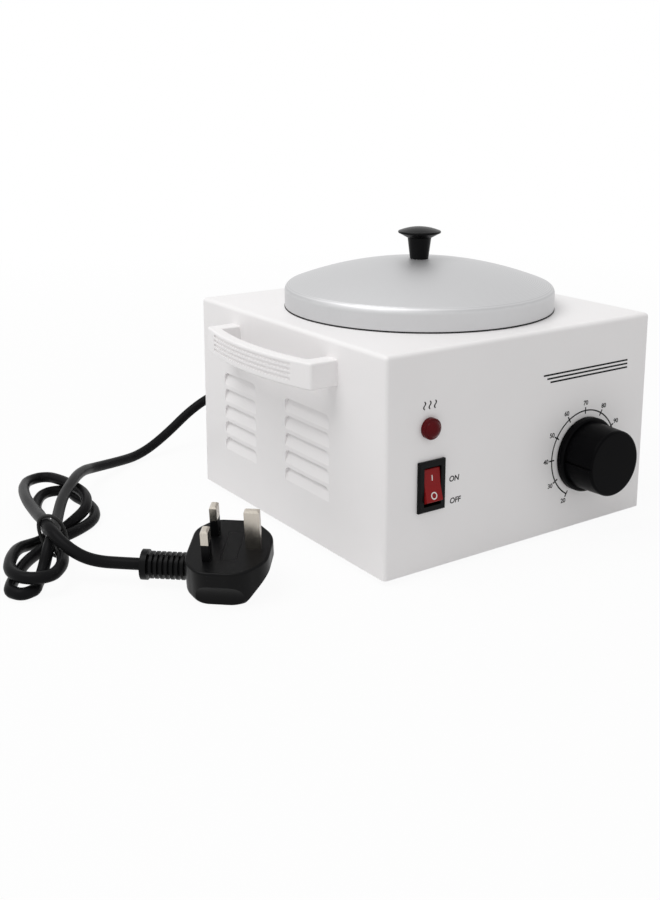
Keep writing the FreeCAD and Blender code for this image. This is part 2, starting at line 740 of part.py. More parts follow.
def make_well():
    well = cup(TOP_Z, WELL_UNDER_Z, WELL_OUTER_R, WELL_WALL, WELL_FLOOR, WELL_CORNER_R,
               WELL_FLANGE_R, WELL_FLANGE_T)
    save("heating_well", well)
    inner_r = WELL_FLANGE_R + GASKET_GAP
    gasket = turned([
        (inner_r, TOP_Z),
        (GASKET_R, TOP_Z),
        (GASKET_R, TOP_Z + GASKET_T),
        (inner_r, TOP_Z + GASKET_T),
    ], POT_AXIS, UP)
    save("lid_gasket", gasket)
    pot = cup(POT_RIM_Z, POT_UNDER_Z, POT_R, POT_WALL, POT_WALL, POT_CORNER_R, POT_FLANGE_R, POT_WALL)
    save("inner_pot", pot)


def make_heater():
    under = POT_AXIS + UP * WELL_UNDER_Z
    heater = rod(under, DOWN, HEATER_R, HEATER_T).cut(rod(under, DOWN, HEATER_BORE_R, HEATER_T))
    save("heater_element", heater)
    clamp_top = under + DOWN * HEATER_T
    clamp = rod(clamp_top, DOWN, CLAMP_R, CLAMP_T)
    save("heater_clamp", clamp.cut(rod(clamp_top, DOWN, STUD_R + SCREW_FIT, CLAMP_T)))
    save("well_stud", rod(under, DOWN, STUD_R, STUD_L))
    clamp_under = POT_AXIS + UP * CLAMP_UNDER_Z
    washer = rod(clamp_under, DOWN, STUD_WASHER_R, STUD_WASHER_T)
    save("stud_washer", washer.cut(rod(clamp_under, DOWN, STUD_R + SCREW_FIT, STUD_WASHER_T)))
    nut_top = clamp_under + DOWN * STUD_WASHER_T
    save("stud_nut", hexagon(nut_top, DOWN, STUD_NUT_WIDTH, STUD_NUT_T, STUD_R + PILOT_FIT))
    fuse_axis_z = CLAMP_UNDER_Z - FUSE_R
    fuse_start = V(-FUSE_L / 2, HOUSING_Y - FUSE_OFFSET, fuse_axis_z)
    save("thermal_fuse", rod(fuse_start, RIGHT, FUSE_R, FUSE_L))
    band_r = FUSE_R + PILOT_FIT
    half_w = FUSE_BAND_W / 2
    reach = 2 * band_r + 2 * FUSE_BAND_T
    band = extruded([
        (-reach, 0),
        (-band_r, 0),
        (-band_r, -FUSE_R),
        ((0, -FUSE_R - band_r), (band_r, -FUSE_R)),
        (band_r, 0),
        (reach, 0),
        (reach, -FUSE_BAND_T),
        (band_r + FUSE_BAND_T, -FUSE_BAND_T),
        (band_r + FUSE_BAND_T, -FUSE_R),
        ((0, -FUSE_R - band_r - FUSE_BAND_T), (-band_r - FUSE_BAND_T, -FUSE_R)),
        (-band_r - FUSE_BAND_T, -FUSE_BAND_T),
        (-reach, -FUSE_BAND_T),
    ], lambda p: V(-half_w, HOUSING_Y - FUSE_OFFSET + p[0], CLAMP_UNDER_Z + p[1]), RIGHT * FUSE_BAND_W)
    save("fuse_band", band)


def make_lid():
    shoulder_r = LID_R - LID_SHOULDER_R
    rise = LID_H - LID_SKIRT_H
    dome_r = (shoulder_r ** 2 + rise ** 2 - LID_SHOULDER_R ** 2) / (2 * (rise - LID_SHOULDER_R))
    lean = math.degrees(math.atan2(dome_r - rise, shoulder_r))

    def half_section(inset):
        shoulder = (shoulder_r, LID_SKIRT_H)
        dome = (0, LID_H - dome_r)
        skirt_top = (LID_R - inset, LID_SKIRT_H)
        over_shoulder = quarter(shoulder, LID_SHOULDER_R - inset, 0, lean)
        over_dome = quarter(dome, dome_r - inset, lean, 90)
        return skirt_top, over_shoulder, over_dome

    skirt_top, over_shoulder, over_dome = half_section(0)
    inner_skirt_top, inner_shoulder, inner_dome = half_section(LID_T)
    inner_turn = inner_shoulder[1]
    shell = turned([
        (LID_R, 0),
        skirt_top,
        over_shoulder,
        over_dome,
        (0, LID_H - LID_T),
        (inner_dome[0], inner_turn),
        (inner_shoulder[0], inner_skirt_top),
        (LID_R - LID_T, 0),
    ], POT_AXIS + UP * LID_Z, UP)
    top = POT_AXIS + UP * LID_TOP_Z
    save("lid_shell", shell.cut(rod(top + UP * OVERRUN, DOWN, LID_SCREW_R + SCREW_FIT, LID_T + 2 * OVERRUN)))
    rim_z = LID_KNOB_H - LID_KNOB_RIM_T
    crown_z = LID_KNOB_H - LID_KNOB_CROWN
    crown_r = LID_KNOB_CAP_R - LID_KNOB_EDGE_R
    cap_r = (crown_r ** 2 + LID_KNOB_CROWN ** 2) / (2 * LID_KNOB_CROWN)
    cap_lean = math.degrees(math.acos(crown_r / cap_r))
    knob = turned([
        (0, 0),
        (LID_KNOB_FOOT_R, 0),
        (LID_KNOB_NECK_R, rim_z - LID_KNOB_FLARE_H),
        (crown_r, rim_z),
        quarter((crown_r, rim_z + LID_KNOB_EDGE_R), LID_KNOB_EDGE_R, -90, 0),
        (LID_KNOB_CAP_R, crown_z - LID_KNOB_EDGE_R),
        quarter((crown_r, crown_z - LID_KNOB_EDGE_R), LID_KNOB_EDGE_R, 0, 90),
        quarter((0, LID_KNOB_H - cap_r), cap_r, cap_lean, 90),
    ], top, UP)
    pilot = rod(top, UP, LID_SCREW_R + PILOT_FIT, LID_SCREW_L)
    save("lid_knob", knob.cut(pilot))
    sag = dome_r - LID_T - math.sqrt((dome_r - LID_T) ** 2 - LID_WASHER_R ** 2)
    washer_top = top + DOWN * (LID_T + sag)
    washer = rod(washer_top, DOWN, LID_WASHER_R, LID_WASHER_T)
    save("lid_washer", washer.cut(rod(washer_top, DOWN, LID_SCREW_R + SCREW_FIT, LID_WASHER_T)))
    seat = washer_top + DOWN * LID_WASHER_T
    save("lid_screw", screw(seat, UP, LID_SCREW_R, LID_SCREW_L, LID_SCREW_HEAD_R, LID_SCREW_HEAD_H))


def make_thermostat():
    axis = V(KNOB_X, FRONT_Y, KNOB_Z)
    inside = V(KNOB_X, INSIDE_FRONT_Y, KNOB_Z)
    half_w, half_h = THERMOSTAT_W / 2, THERMOSTAT_H / 2
    body = rounded_slab(KNOB_X - half_w, KNOB_X + half_w, INSIDE_FRONT_Y, INSIDE_FRONT_Y + THERMOSTAT_D,
                        KNOB_Z - half_h, KNOB_Z + half_h, THERMOSTAT_EDGE_R, REAR)
    cutters = [rod(inside + FRONT * OVERRUN, REAR, SHAFT_R + RUNNING_FIT, THERMOSTAT_D / 2 + OVERRUN)]
    screws = []
    for place in thermostat_screw_places():
        cutters.append(rod(place, REAR, THERMOSTAT_SCREW_R + PILOT_FIT, THERMOSTAT_SCREW_L))
        screws.append(screw(place, REAR, THERMOSTAT_SCREW_R, THERMOSTAT_SCREW_L,
                            THERMOSTAT_SCREW_HEAD_R, THERMOSTAT_SCREW_HEAD_H))
    save("thermostat_body", body.cut(cutters))
    save_group("thermostat_screws", screws)
    shaft_end = inside + REAR * (THERMOSTAT_D / 2 - SEAT_GAP)
    shaft_tip_y = FRONT_Y - KNOB_STANDOFF - SHAFT_IN_KNOB
    save("thermostat_shaft", rod(shaft_end, FRONT, SHAFT_R, shaft_end.y - shaft_tip_y))
    make_knob(axis)


def make_knob(axis):
    """Skirted knob, hollow behind, with a hub on the shaft and a pointer groove in its grip."""
    height = KNOB_PROUD - KNOB_STANDOFF
    back = axis + FRONT * KNOB_STANDOFF
    knob = turned([
        (0, 0),
        (KNOB_FLANGE_R, 0),
        (KNOB_FLANGE_R, KNOB_FLANGE_T - KNOB_STEP),
        (KNOB_FLANGE_R - KNOB_STEP, KNOB_FLANGE_T),
        (KNOB_GRIP_R, KNOB_FLANGE_T),
        (KNOB_FACE_R, height - KNOB_EDGE_R),
        quarter((KNOB_FACE_R - KNOB_EDGE_R, height - KNOB_EDGE_R), KNOB_EDGE_R, 0, 90),
        (0, height),
    ], back, FRONT)
    hollow_r = KNOB_FACE_R - KNOB_SHELL
    hollow = rod(back, FRONT, hollow_r, height - KNOB_SHELL).cut(rod(back, FRONT, KNOB_HUB_R, height))
    bore = rod(back, FRONT, SHAFT_R + RUNNING_FIT, SHAFT_IN_KNOB + SEAT_GAP)
    pointer = box(KNOB_X - KNOB_POINTER_W / 2, KNOB_X + KNOB_POINTER_W / 2,
                  FRONT_Y - KNOB_PROUD - OVERRUN, FRONT_Y - KNOB_STANDOFF - KNOB_FLANGE_T,
                  KNOB_Z + KNOB_FACE_R - KNOB_POINTER_DEPTH, KNOB_Z + KNOB_FLANGE_R)
    pointer.rotate(axis, FRONT, KNOB_POINTER_ANGLE)
    save("control_knob", knob.cut([hollow, bore, pointer]))


def make_capillary():
    """Sensing bulb in a clip against the well's wall, and the fine tube from the thermostat to it."""
    bulb_x = WELL_OUTER_R + BULB_R + BULB_GAP
    bulb_z = (WELL_FLOOR_Z + TOP_Z) / 2
    bulb_start = V(bulb_x, HOUSING_Y, bulb_z - BULB_L / 2)
    save("sensing_bulb", rod(bulb_start, UP, BULB_R, BULB_L))
    outer_r = BULB_R + PILOT_FIT + CLIP_T
    clip_z = bulb_z - CLIP_W / 2
    ring = rod(V(bulb_x, HOUSING_Y, clip_z), UP, outer_r, CLIP_W)
    bore = rod(V(bulb_x, HOUSING_Y, clip_z), UP, BULB_R + PILOT_FIT, CLIP_W)
    wall = rod(POT_AXIS + UP * clip_z, UP, WELL_OUTER_R, CLIP_W)
    save("bulb_clip", ring.cut([bore, wall]))
    start = V(KNOB_X, INSIDE_FRONT_Y + THERMOSTAT_D, KNOB_Z - THERMOSTAT_H / 4)
    drop_z = bulb_start.z - BULB_L / 4
    middle = (start + V(bulb_x, HOUSING_Y, drop_z)) * (1 / 2)
    run = BULB_L / 6
    save("capillary_tube", tube([
        start,
        start + REAR * run,
        V(middle.x, middle.y, drop_z),
        V(bulb_x, HOUSING_Y - run, drop_z),
        V(bulb_x, HOUSING_Y, bulb_start.z - run),
        bulb_start,
    ], CAPILLARY_R, "capillary_tube"))


def make_switch():
    half_w, half_h = SWITCH_W / 2, SWITCH_H / 2
    body = box(SWITCH_X - half_w, SWITCH_X + half_w, FRONT_Y, FRONT_Y + SWITCH_D,
               SWITCH_Z - half_h, SWITCH_Z + half_h)
    bezel = box(SWITCH_X - BEZEL_W / 2, SWITCH_X + BEZEL_W / 2, FRONT_Y - BEZEL_T, FRONT_Y,
                SWITCH_Z - BEZEL_H / 2, SWITCH_Z + BEZEL_H / 2)
    front_edges = [edge for edge in bezel.Edges if edge.BoundBox.YMax < FRONT_Y - BEZEL_T / 2]
    bezel = bezel.makeFillet(BEZEL_EDGE_R, front_edges)
    window = box(SWITCH_X - WINDOW_W / 2, SWITCH_X + WINDOW_W / 2, FRONT_Y - BEZEL_T - OVERRUN,
                 FRONT_Y + WINDOW_D, SWITCH_Z - WINDOW_H / 2, SWITCH_Z + WINDOW_H / 2)
    pivot = V(SWITCH_X, FRONT_Y + PIVOT_SETBACK, SWITCH_Z)
    reach = ROCKER_W / 2 + PIVOT_L
    socket_half = reach + RUNNING_FIT
    socket = rod(pivot - RIGHT * socket_half, RIGHT, PIVOT_R + RUNNING_FIT, 2 * socket_half)
    save("switch_body", body.fuse(bezel).cut([window, socket]))

    dish = math.tan(math.radians(ROCKER_DISH)) * ROCKER_FACE_H / 2
    rocker = extruded([
        (ROCKER_RISE, 0),
        (ROCKER_RISE + dish, ROCKER_FACE_H / 2),
        (0, ROCKER_H / 2),
        (-ROCKER_BACK, ROCKER_H / 2 - ROCKER_BACK),
        (-ROCKER_BACK, ROCKER_BACK - ROCKER_H / 2),
        (0, -ROCKER_H / 2),
        (ROCKER_RISE + dish, -ROCKER_FACE_H / 2),
    ], lambda p: pivot + FRONT * p[0] + UP * p[1] - RIGHT * (ROCKER_W / 2), RIGHT * ROCKER_W)
    ends = [edge for edge in edges_along(rocker, RIGHT) if edge.BoundBox.YMax < pivot.y - ROCKER_RISE]
    rocker = rocker.makeFillet(ROCKER_EDGE_R, ends)
    rocker = rocker.fuse(rod(pivot - RIGHT * reach, RIGHT, PIVOT_R, 2 * reach))
    rocker.rotate(pivot, RIGHT, -ROCKER_TILT)
    save("switch_rocker", rocker)

    tabs = []
    back_y = FRONT_Y + SWITCH_D
    for way in (-1, 0, 1):
        z = SWITCH_Z + way * TAB_PITCH
        tabs.append(box(SWITCH_X - TAB_W / 2, SWITCH_X + TAB_W / 2, back_y, back_y + TAB_L,
                        z - TAB_T / 2, z + TAB_T / 2))
    save_group("switch_terminals", tabs)


def make_lamp():
    face = V(LAMP_X, FRONT_Y, LAMP_Z)
    dome_foot = LAMP_R - LAMP_STEP
    dome_r = (dome_foot ** 2 + LAMP_DOME_H ** 2) / (2 * LAMP_DOME_H)
    dome_centre = (0, LAMP_RIM_T + LAMP_DOME_H - dome_r)
    foot_angle = math.degrees(math.asin((dome_r - LAMP_DOME_H) / dome_r))
    lens = turned([
        (0, 0),
        (LAMP_R, 0),
        (LAMP_R, LAMP_RIM_T - LAMP_STEP / 2),
        (LAMP_R - LAMP_STEP / 2, LAMP_RIM_T),
        (dome_foot, LAMP_RIM_T),
        quarter(dome_centre, dome_r, foot_angle, 90),
    ], face, FRONT)
    save("lamp_lens", lens)
    save("lamp_body", rod(face, REAR, LAMP_BODY_R, LAMP_BODY_L))
    inside = V(LAMP_X, INSIDE_FRONT_Y, LAMP_Z)
    nut = rod(inside, REAR, LAMP_NUT_R, LAMP_NUT_T)
    save("lamp_nut", nut.cut(rod(inside, REAR, LAMP_BODY_R + PILOT_FIT, LAMP_NUT_T)))


def block_front_y():
    return INSIDE_BACK_Y - BLOCK_BACK_GAP - BLOCK_D


def block_way_x(way):
    return BLOCK_X + (way - (BLOCK_WAYS - 1) / 2) * BLOCK_W / BLOCK_WAYS


def block_screw_places():
    """Fixing screws between the ways, at the block's top face."""
    y = block_front_y() + BLOCK_D / 2
    step = BLOCK_W / BLOCK_WAYS / 2
    return [V(BLOCK_X + way * step, y, BASE_TOP_Z) for way in (-1, 1)]


def make_terminal_block():
    y0 = block_front_y()
    top = BASE_TOP_Z + BLOCK_H
    block = box(BLOCK_X - BLOCK_W / 2, BLOCK_X + BLOCK_W / 2, y0, y0 + BLOCK_D, BASE_TOP_Z, top)
    cutters = []
    clamp_screws = []
    for way in range(BLOCK_WAYS):
        x = block_way_x(way)
        bore_start = V(x, y0 - OVERRUN, BASE_TOP_Z + BLOCK_BORE_Z)
        cutters.append(rod(bore_start, REAR, BLOCK_BORE_R, BLOCK_D + 2 * OVERRUN))
        for share in BLOCK_CLAMP_SHARES:
            seat = V(x, y0 + share * BLOCK_D, top)
            cutters.append(rod(seat + UP * OVERRUN, DOWN, BLOCK_SCREW_R + PILOT_FIT, BLOCK_SCREW_L + OVERRUN))
            clamp_screws.append(screw(seat, DOWN, BLOCK_SCREW_R, BLOCK_SCREW_L,
                                      BLOCK_SCREW_HEAD_R, BLOCK_SCREW_HEAD_H))
    fixing_screws = []
    for place in block_screw_places():
        seat = place + UP * BLOCK_H
        cutters.append(rod(place - UP * OVERRUN, UP, BLOCK_SCREW_R + PILOT_FIT, BLOCK_H + 2 * OVERRUN))
        fixing_screws.append(screw(seat, DOWN, BLOCK_SCREW_R, BLOCK_H + BASE_T,
                                   BLOCK_SCREW_HEAD_R, BLOCK_SCREW_HEAD_H))
    save("terminal_block", block.cut(cutters))
    save_group("terminal_screws", clamp_screws)
    save_group("block_screws", fixing_screws)


def wire(name, start, leave, end, arrive, low_z):
    """Insulated wire from one terminal to another, low between them."""
    first = start + leave * WIRE_LEAD
    last = end - arrive * WIRE_LEAD
    points = [start, first]
    for share in WIRE_WAY_SHARES:
        way = first + (last - first) * share
        points.append(V(way.x, way.y, low_z))
    save(name, tube(points + [last, end], WIRE_R, name))


def make_wires():
    bore_z = BASE_TOP_Z + BLOCK_BORE_Z
    front_y = block_front_y() + WIRE_GRIP
    rear_y = block_front_y() + BLOCK_D - WIRE_GRIP
    tab_y = FRONT_Y + SWITCH_D + TAB_L
    stat_y = INSIDE_FRONT_Y + THERMOSTAT_D
    stat_z = KNOB_Z - THERMOSTAT_H / 4
    stat_reach = THERMOSTAT_W / 4
    fuse_y = HOUSING_Y - FUSE_OFFSET
    fuse_z = CLAMP_UNDER_Z - FUSE_R
    ways = [V(block_way_x(way), front_y, bore_z) for way in range(BLOCK_WAYS)]
    tabs = [V(SWITCH_X, tab_y, SWITCH_Z + way * TAB_PITCH) for way in (-1, 0)]
    stats = [V(KNOB_X + way * stat_reach, stat_y, stat_z) for way in (-1, 1)]
    fuse_ends = [V(way * FUSE_L / 2, fuse_y, fuse_z) for way in (-1, 1)]
    heater_ends = [V(x, HOUSING_Y + HEATER_LEAD_Y, CLAMP_UNDER_Z) for x in HEATER_LEAD_X]
    fuse_heater = V(HEATER_LEAD_X[1], HOUSING_Y - HEATER_LEAD_Y, CLAMP_UNDER_Z)
    wire("wire_switch_feed", ways[0], FRONT, tabs[0], FRONT, WIRE_LOW_Z)
    wire("wire_thermostat_feed", tabs[1], REAR, stats[0], FRONT, WIRE_LOW_Z)
    wire("wire_fuse_feed", stats[1], REAR, fuse_ends[1], -RIGHT, WIRE_LOW_Z)
    hang_z = (CLAMP_UNDER_Z + BASE_TOP_Z) / 2
    wire("wire_fuse_heater", fuse_ends[0], -RIGHT, fuse_heater, UP, hang_z)
    wire("wire_earth", ways[1], FRONT, heater_ends[1], UP, WIRE_LOW_Z)
    wire("wire_heater_neutral", ways[2], FRONT, heater_ends[0], UP, WIRE_LOW_Z)
    tail_y = INSIDE_BACK_Y - TAIL_L
    cores = []
    for way in range(BLOCK_WAYS):
        spread = (way - (BLOCK_WAYS - 1) / 2) * CORE_SPREAD
        start = V(GLAND_X + spread * WIRE_R, tail_y, GLAND_Z)
        end = V(block_way_x(way), rear_y, bore_z)
        cores.append(tube([
            start,
            start + FRONT * (WIRE_LEAD / 2),
            V(end.x, (start.y + end.y) / 2 - WIRE_LEAD / 2, (start.z + end.z) / 2),
            end + REAR * WIRE_LEAD,
            end,
        ], WIRE_R, "cord_cores"))
    save_group("cord_cores", cores)


def gland_tip():
    return V(GLAND_X, BACK_Y + GLAND_FLANGE_T + GLAND_SLEEVE_L, GLAND_Z)


def make_gland():
    """Strain relief: flange and ribbed sleeve outside, neck and nut inside the rear panel."""
    neck_l = HOUSING_WALL + GLAND_NUT_T
    bore_r = CORD_R + GLAND_BORE_GAP
    outside = GLAND_FLANGE_T + GLAND_SLEEVE_L
    base = V(GLAND_X, BACK_Y, GLAND_Z)
    gland = turned([
        (bore_r, -neck_l),
        (GLAND_HOLE_R, -neck_l),
        (GLAND_HOLE_R, 0),
        (GLAND_FLANGE_R, 0),
        (GLAND_FLANGE_R, GLAND_FLANGE_T),
        (GLAND_SLEEVE_R, GLAND_FLANGE_T),
        (GLAND_TIP_R, outside),
        (bore_r, outside),
    ], base, REAR)
    pitch = GLAND_SLEEVE_L / (GLAND_RIBS + 1)
    taper = (GLAND_SLEEVE_R - GLAND_TIP_R) / GLAND_SLEEVE_L
    for rib in range(GLAND_RIBS):
        at = (rib + 1 / 2) * pitch
        root_r = GLAND_SLEEVE_R - taper * at - GLAND_RIB_CUT
        ring_at = base + REAR * (GLAND_FLANGE_T + at)
        ring = rod(ring_at, REAR, GLAND_FLANGE_R, pitch / 2).cut(rod(ring_at, REAR, root_r, pitch / 2))
        gland = gland.cut(ring)
    save("cord_gland", gland)
    inside = V(GLAND_X, INSIDE_BACK_Y, GLAND_Z)
    nut = rod(inside, FRONT, GLAND_NUT_R, GLAND_NUT_T)
    save("gland_nut", nut.cut(rod(inside, FRONT, GLAND_HOLE_R + PILOT_FIT, GLAND_NUT_T)))
    tail_start = V(GLAND_X, INSIDE_BACK_Y - TAIL_L, GLAND_Z)
    save("cord_tail", rod(tail_start, REAR, CORD_R, gland_tip().y - tail_start.y))


def hank_place(along, across, height):
    turn = math.radians(HANK_TURN)
    x = HANK_X + along * math.sin(turn) + across * math.cos(turn)
    y = HANK_Y + along * math.cos(turn) - across * math.sin(turn)
    return V(x, y, height)


def hank_heading(degrees, rise):
    way = math.radians(degrees)
    return unit(hank_place(math.cos(way), math.sin(way), rise) - hank_place(0, 0, 0))


def hank_stations():
    """Places and headings that the wound cord passes through, from its start to its end."""
    stations = []
    for strand in HANK_STRANDS:
        for along, across, height, degrees, rise in strand:
            stations.append((hank_place(along, across, height), hank_heading(degrees, rise)))
    return stations


def arc_between(start, heading, end):
    """Arc from a start with a heading there to an end."""
    chord = end - start
    off = chord - heading * chord.dot(heading)
    radius = chord.dot(chord) / (2 * off.Length)
    off = unit(off)
    half = math.atan2(chord.dot(off), chord.dot(heading))
    through = start + off * (radius * (1 - math.cos(half))) + heading * (radius * math.sin(half))
    return Part.Arc(start, through, end).toShape()


def biarc(start, leave, end, arrive):
    """Two arcs that join two places with the given headings."""
    span = end - start
    both = leave + arrive
    spread = 2 * (1 - leave.dot(arrive))
    if spread < 1e-9:
        reach = span.dot(span) / (4 * span.dot(arrive))
    else:
        mean = span.dot(both)
        reach = (math.sqrt(mean ** 2 + spread * span.dot(span)) - mean) / spread
    joint = (start + leave * reach + end - arrive * reach) * (1 / 2)
    first = arc_between(start, leave, joint)
    second = arc_between(end, -arrive, joint)
    second.reverse()
    return [first, second]


def least_gap(points, others, apart):
    """Least distance between points of two runs of cord, less a diameter."""
    least = None
    for index, point in enumerate(points):
        for other_index, other in enumerate(others):
            if apart and other_index - index < apart:
                continue
            distance = (point - other).Length
            least = distance if least is None else min(least, distance)
    return least - 2 * CORD_R


def make_cord():
    stations = hank_stations()
    start = stations[0][0] - stations[0][1] * (2 * CORD_R)
    end = stations[-1][0] + stations[-1][1] * (2 * CORD_R)
    edges = [Part.LineSegment(start, stations[0][0]).toShape()]
    for (here, leave), (there, arrive) in zip(stations, stations[1:]):
        edges += biarc(here, leave, there, arrive)
    edges.append(Part.LineSegment(stations[-1][0], end).toShape())
    path = Part.Wire(edges)
    hank = swept(path, start, stations[0][1], CORD_R)
    expected = math.pi * CORD_R ** 2 * path.Length
    points = path.discretize(int(path.Length / GAP_STEP))
    own_gap = least_gap(points, points, int(GAP_AWAY / GAP_STEP))
    print(f"cord_hank: length {path.Length:.1f}, volume / section x length {hank.Volume / expected:.4f},",
          f"least gap to itself {own_gap:.2f}, lowest {min(p.z for p in points) - CORD_R:.2f}")
    save("cord_hank", hank)
    boot = V(*PLUG_BOOT_AT, PLUG_AXIS_Z)
    turn = math.radians(PLUG_HEADING)
    into_boot = V(math.cos(turn), math.sin(turn), 0)
    lead = [gland_tip(), gland_tip() + REAR * CORD_RUN]
    lead += [V(*point) for point in LEAD_POINTS]
    lead += [start - stations[0][1] * CORD_RUN, start]
    tail = [end, end + stations[-1][1] * CORD_RUN, boot - into_boot * CORD_RUN, boot]
    for name, route in (("cord_from_gland", lead), ("cord_to_plug", tail)):
        save(name, tube(route, CORD_R, name))
        route_path = route_wire(route)[0]
        clear = [p for p in route_path.discretize(int(route_path.Length / GAP_STEP))
                 if min((p - start).Length, (p - end).Length) > 2 * CORD_R]
        away = int(GAP_AWAY / GAP_STEP)
        print(f"{name}: least gap to the hank {least_gap(clear, points[away:-away], 0):.2f}")
    make_tie()


def make_tie():
    """Plastic-coated wire round the crossing strands of the hank."""
    places = [hank_place(TIE_ALONG, across, height) for across, height in TIE_CORNERS]
    edges = []
    here = None
    first = None
    for index, corner in enumerate(places):
        back = unit(places[index - 1] - corner)
        on = unit(places[(index + 1) % len(places)] - corner)
        half_turn = back.getAngle(on) / 2
        reach = TIE_BEND_R / math.tan(half_turn)
        inward = unit(back + on)
        centre = corner + inward * (TIE_BEND_R / math.sin(half_turn))
        begin, finish = corner + back * reach, corner + on * reach
        if here is None:
            first = begin
        else:
            edges.append(Part.LineSegment(here, begin).toShape())
        edges.append(Part.Arc(begin, centre - inward * TIE_BEND_R, finish).toShape())
        here = finish
    edges.append(Part.LineSegment(here, first).toShape())
    heading = edges[0].tangentAt(edges[0].FirstParameter)
    tie = swept(Part.Wire(edges), first, heading, TIE_R)
    print(f"cord_tie: volume {tie.Volume:.1f}, valid {tie.isValid()}")
    save("cord_tie", tie)


def plug_place(shape):
    """Move a plug piece from its own axis to where the plug lies."""
    placed = shape.copy()
    placed.rotate(V(0, 0, 0), RIGHT, PLUG_TILT)
    placed.rotate(V(0, 0, 0), UP, PLUG_HEADING)
    placed.translate(V(*PLUG_BOOT_AT, PLUG_AXIS_Z))
    return placed


def pin_bar(x, y, along, across, z0, z1):
    return box(x - along / 2, x + along / 2, y - across / 2, y + across / 2, z0, z1)


def pin_tip(bar):
    """Bar with the edges of its upper end bevelled."""
    top = [edge for edge in bar.Edges if edge.BoundBox.ZMin > bar.BoundBox.ZMax - PIN_TIP_CUT / 2]
    return bar.makeChamfer(PIN_TIP_CUT, top)


def make_plug():
    boot_pitch = (BOOT_L - BOOT_COLLAR_L) / BOOT_RIB_COUNT
    items = [(0, 0), (BOOT_COLLAR_R, 0), (BOOT_COLLAR_R, BOOT_COLLAR_L)]
    for rib in range(BOOT_RIB_COUNT):
        at = BOOT_COLLAR_L + rib * boot_pitch
        items += [(BOOT_ROOT_R, at), (BOOT_ROOT_R, at + boot_pitch / 2)]
        items += [(BOOT_RIB_R, at + boot_pitch / 2), (BOOT_RIB_R, at + boot_pitch)]
    items.append((0, BOOT_L))
    save("plug_relief", plug_place(turned(items, V(0, 0, 0), RIGHT)))

    end = BOOT_L + PLUG_L
    shoulder, toe = BOOT_L + PLUG_SHOULDER_L, end - PLUG_TOE_L
    outline = [
        (BOOT_L, -PLUG_NECK_W / 2),
        (shoulder, -PLUG_W / 2),
        (toe, -PLUG_W / 2),
        (end, -PLUG_TOE_W / 2),
        (end, PLUG_TOE_W / 2),
        (toe, PLUG_W / 2),
        (shoulder, PLUG_W / 2),
        (BOOT_L, PLUG_NECK_W / 2),
    ]
    body = extruded(outline, lambda p: V(p[0], p[1], -PLUG_BACK), UP * (PLUG_FACE + PLUG_BACK))
    middle = (shoulder + toe) / 2
    toe_corners = [edge for edge in edges_along(body, UP) if edge.BoundBox.XMin > middle]
    body = body.makeFillet(PLUG_TOE_R, toe_corners)
    boot_corners = [edge for edge in edges_along(body, UP) if edge.BoundBox.XMax < middle]
    body = body.makeFillet(PLUG_EDGE_R, boot_corners)
    back_edges = [edge for edge in body.Edges if edge.BoundBox.ZMax < PLUG_BACK_EDGE_R - PLUG_BACK]
    body = body.makeFillet(PLUG_BACK_EDGE_R, back_edges)
    face_edges = [edge for edge in body.Edges if edge.BoundBox.ZMin > PLUG_FACE - PLUG_FACE_EDGE_R]
    body = body.makeFillet(PLUG_FACE_EDGE_R, face_edges)
    cutters = [extruded([
        (end - PLUG_TOE_CUT - OVERRUN, -PLUG_BACK - OVERRUN),
        (end + OVERRUN, -PLUG_BACK + PLUG_TOE_CUT + OVERRUN),
        (end + OVERRUN, -PLUG_BACK - OVERRUN),
    ], lambda p: V(p[0], -PLUG_W, p[1]), REAR * (2 * PLUG_W))]
    for way in (-1, 1):
        axis_y = way * (PLUG_W / 2 + PLUG_GRIP_R - PLUG_GRIP_DEPTH)
        start = middle - PLUG_GRIP_L / 2
        cutters.append(rod(V(start, axis_y, -PLUG_GRIP_DROP), RIGHT, PLUG_GRIP_R, PLUG_GRIP_L))
    earth_x = end - EARTH_INSET
    pins_x = earth_x - PIN_SPAN
    root_z = PLUG_FACE - PIN_ROOT
    sleeve_z = PLUG_FACE + SLEEVE_L
    earth = pin_tip(pin_bar(earth_x, 0, EARTH_W, EARTH_T, root_z, PLUG_FACE + EARTH_L))
    cutters.append(earth)
    save("plug_pin_earth", plug_place(earth))
    sleeves = []
    for name, way in (("live", -1), ("neutral", 1)):
        y = way * PIN_SPAN / 2
        core = pin_bar(pins_x, y, PIN_T - 2 * SLEEVE_T, PIN_W - 2 * SLEEVE_T, root_z, sleeve_z)
        tip = pin_tip(pin_bar(pins_x, y, PIN_T, PIN_W, sleeve_z, PLUG_FACE + PIN_L))
        save(f"plug_pin_{name}", plug_place(core.fuse(tip)))
        jacket = pin_bar(pins_x, y, PIN_T, PIN_W, root_z, sleeve_z)
        cutters.append(jacket)
        sleeves.append(plug_place(jacket.cut(core)))
    save_group("pin_sleeves", sleeves)
    cover_x = (earth_x + pins_x) / 2
    cover = pin_bar(cover_x, 0, FUSE_COVER_W, FUSE_COVER_L, PLUG_FACE - FUSE_COVER_T, PLUG_FACE)
    seat = pin_bar(cover_x, 0, FUSE_COVER_W + 2 * FUSE_COVER_GAP, FUSE_COVER_L + 2 * FUSE_COVER_GAP,
                   PLUG_FACE - FUSE_COVER_T, PLUG_FACE + OVERRUN)
    cutters.append(seat)
    save("plug_fuse_cover", plug_place(cover))
    save("plug_body", plug_place(body.cut(cutters)))


os.makedirs("parts", exist_ok=True)
make_housing()
make_base()
make_handles()
make_well()
make_heater()
make_lid()
make_thermostat()
make_capillary()
make_switch()
make_lamp()
make_terminal_block()
make_wires()
make_gland()
make_cord()
make_plug()
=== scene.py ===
import bpy
import math
from mathutils import Matrix, Vector


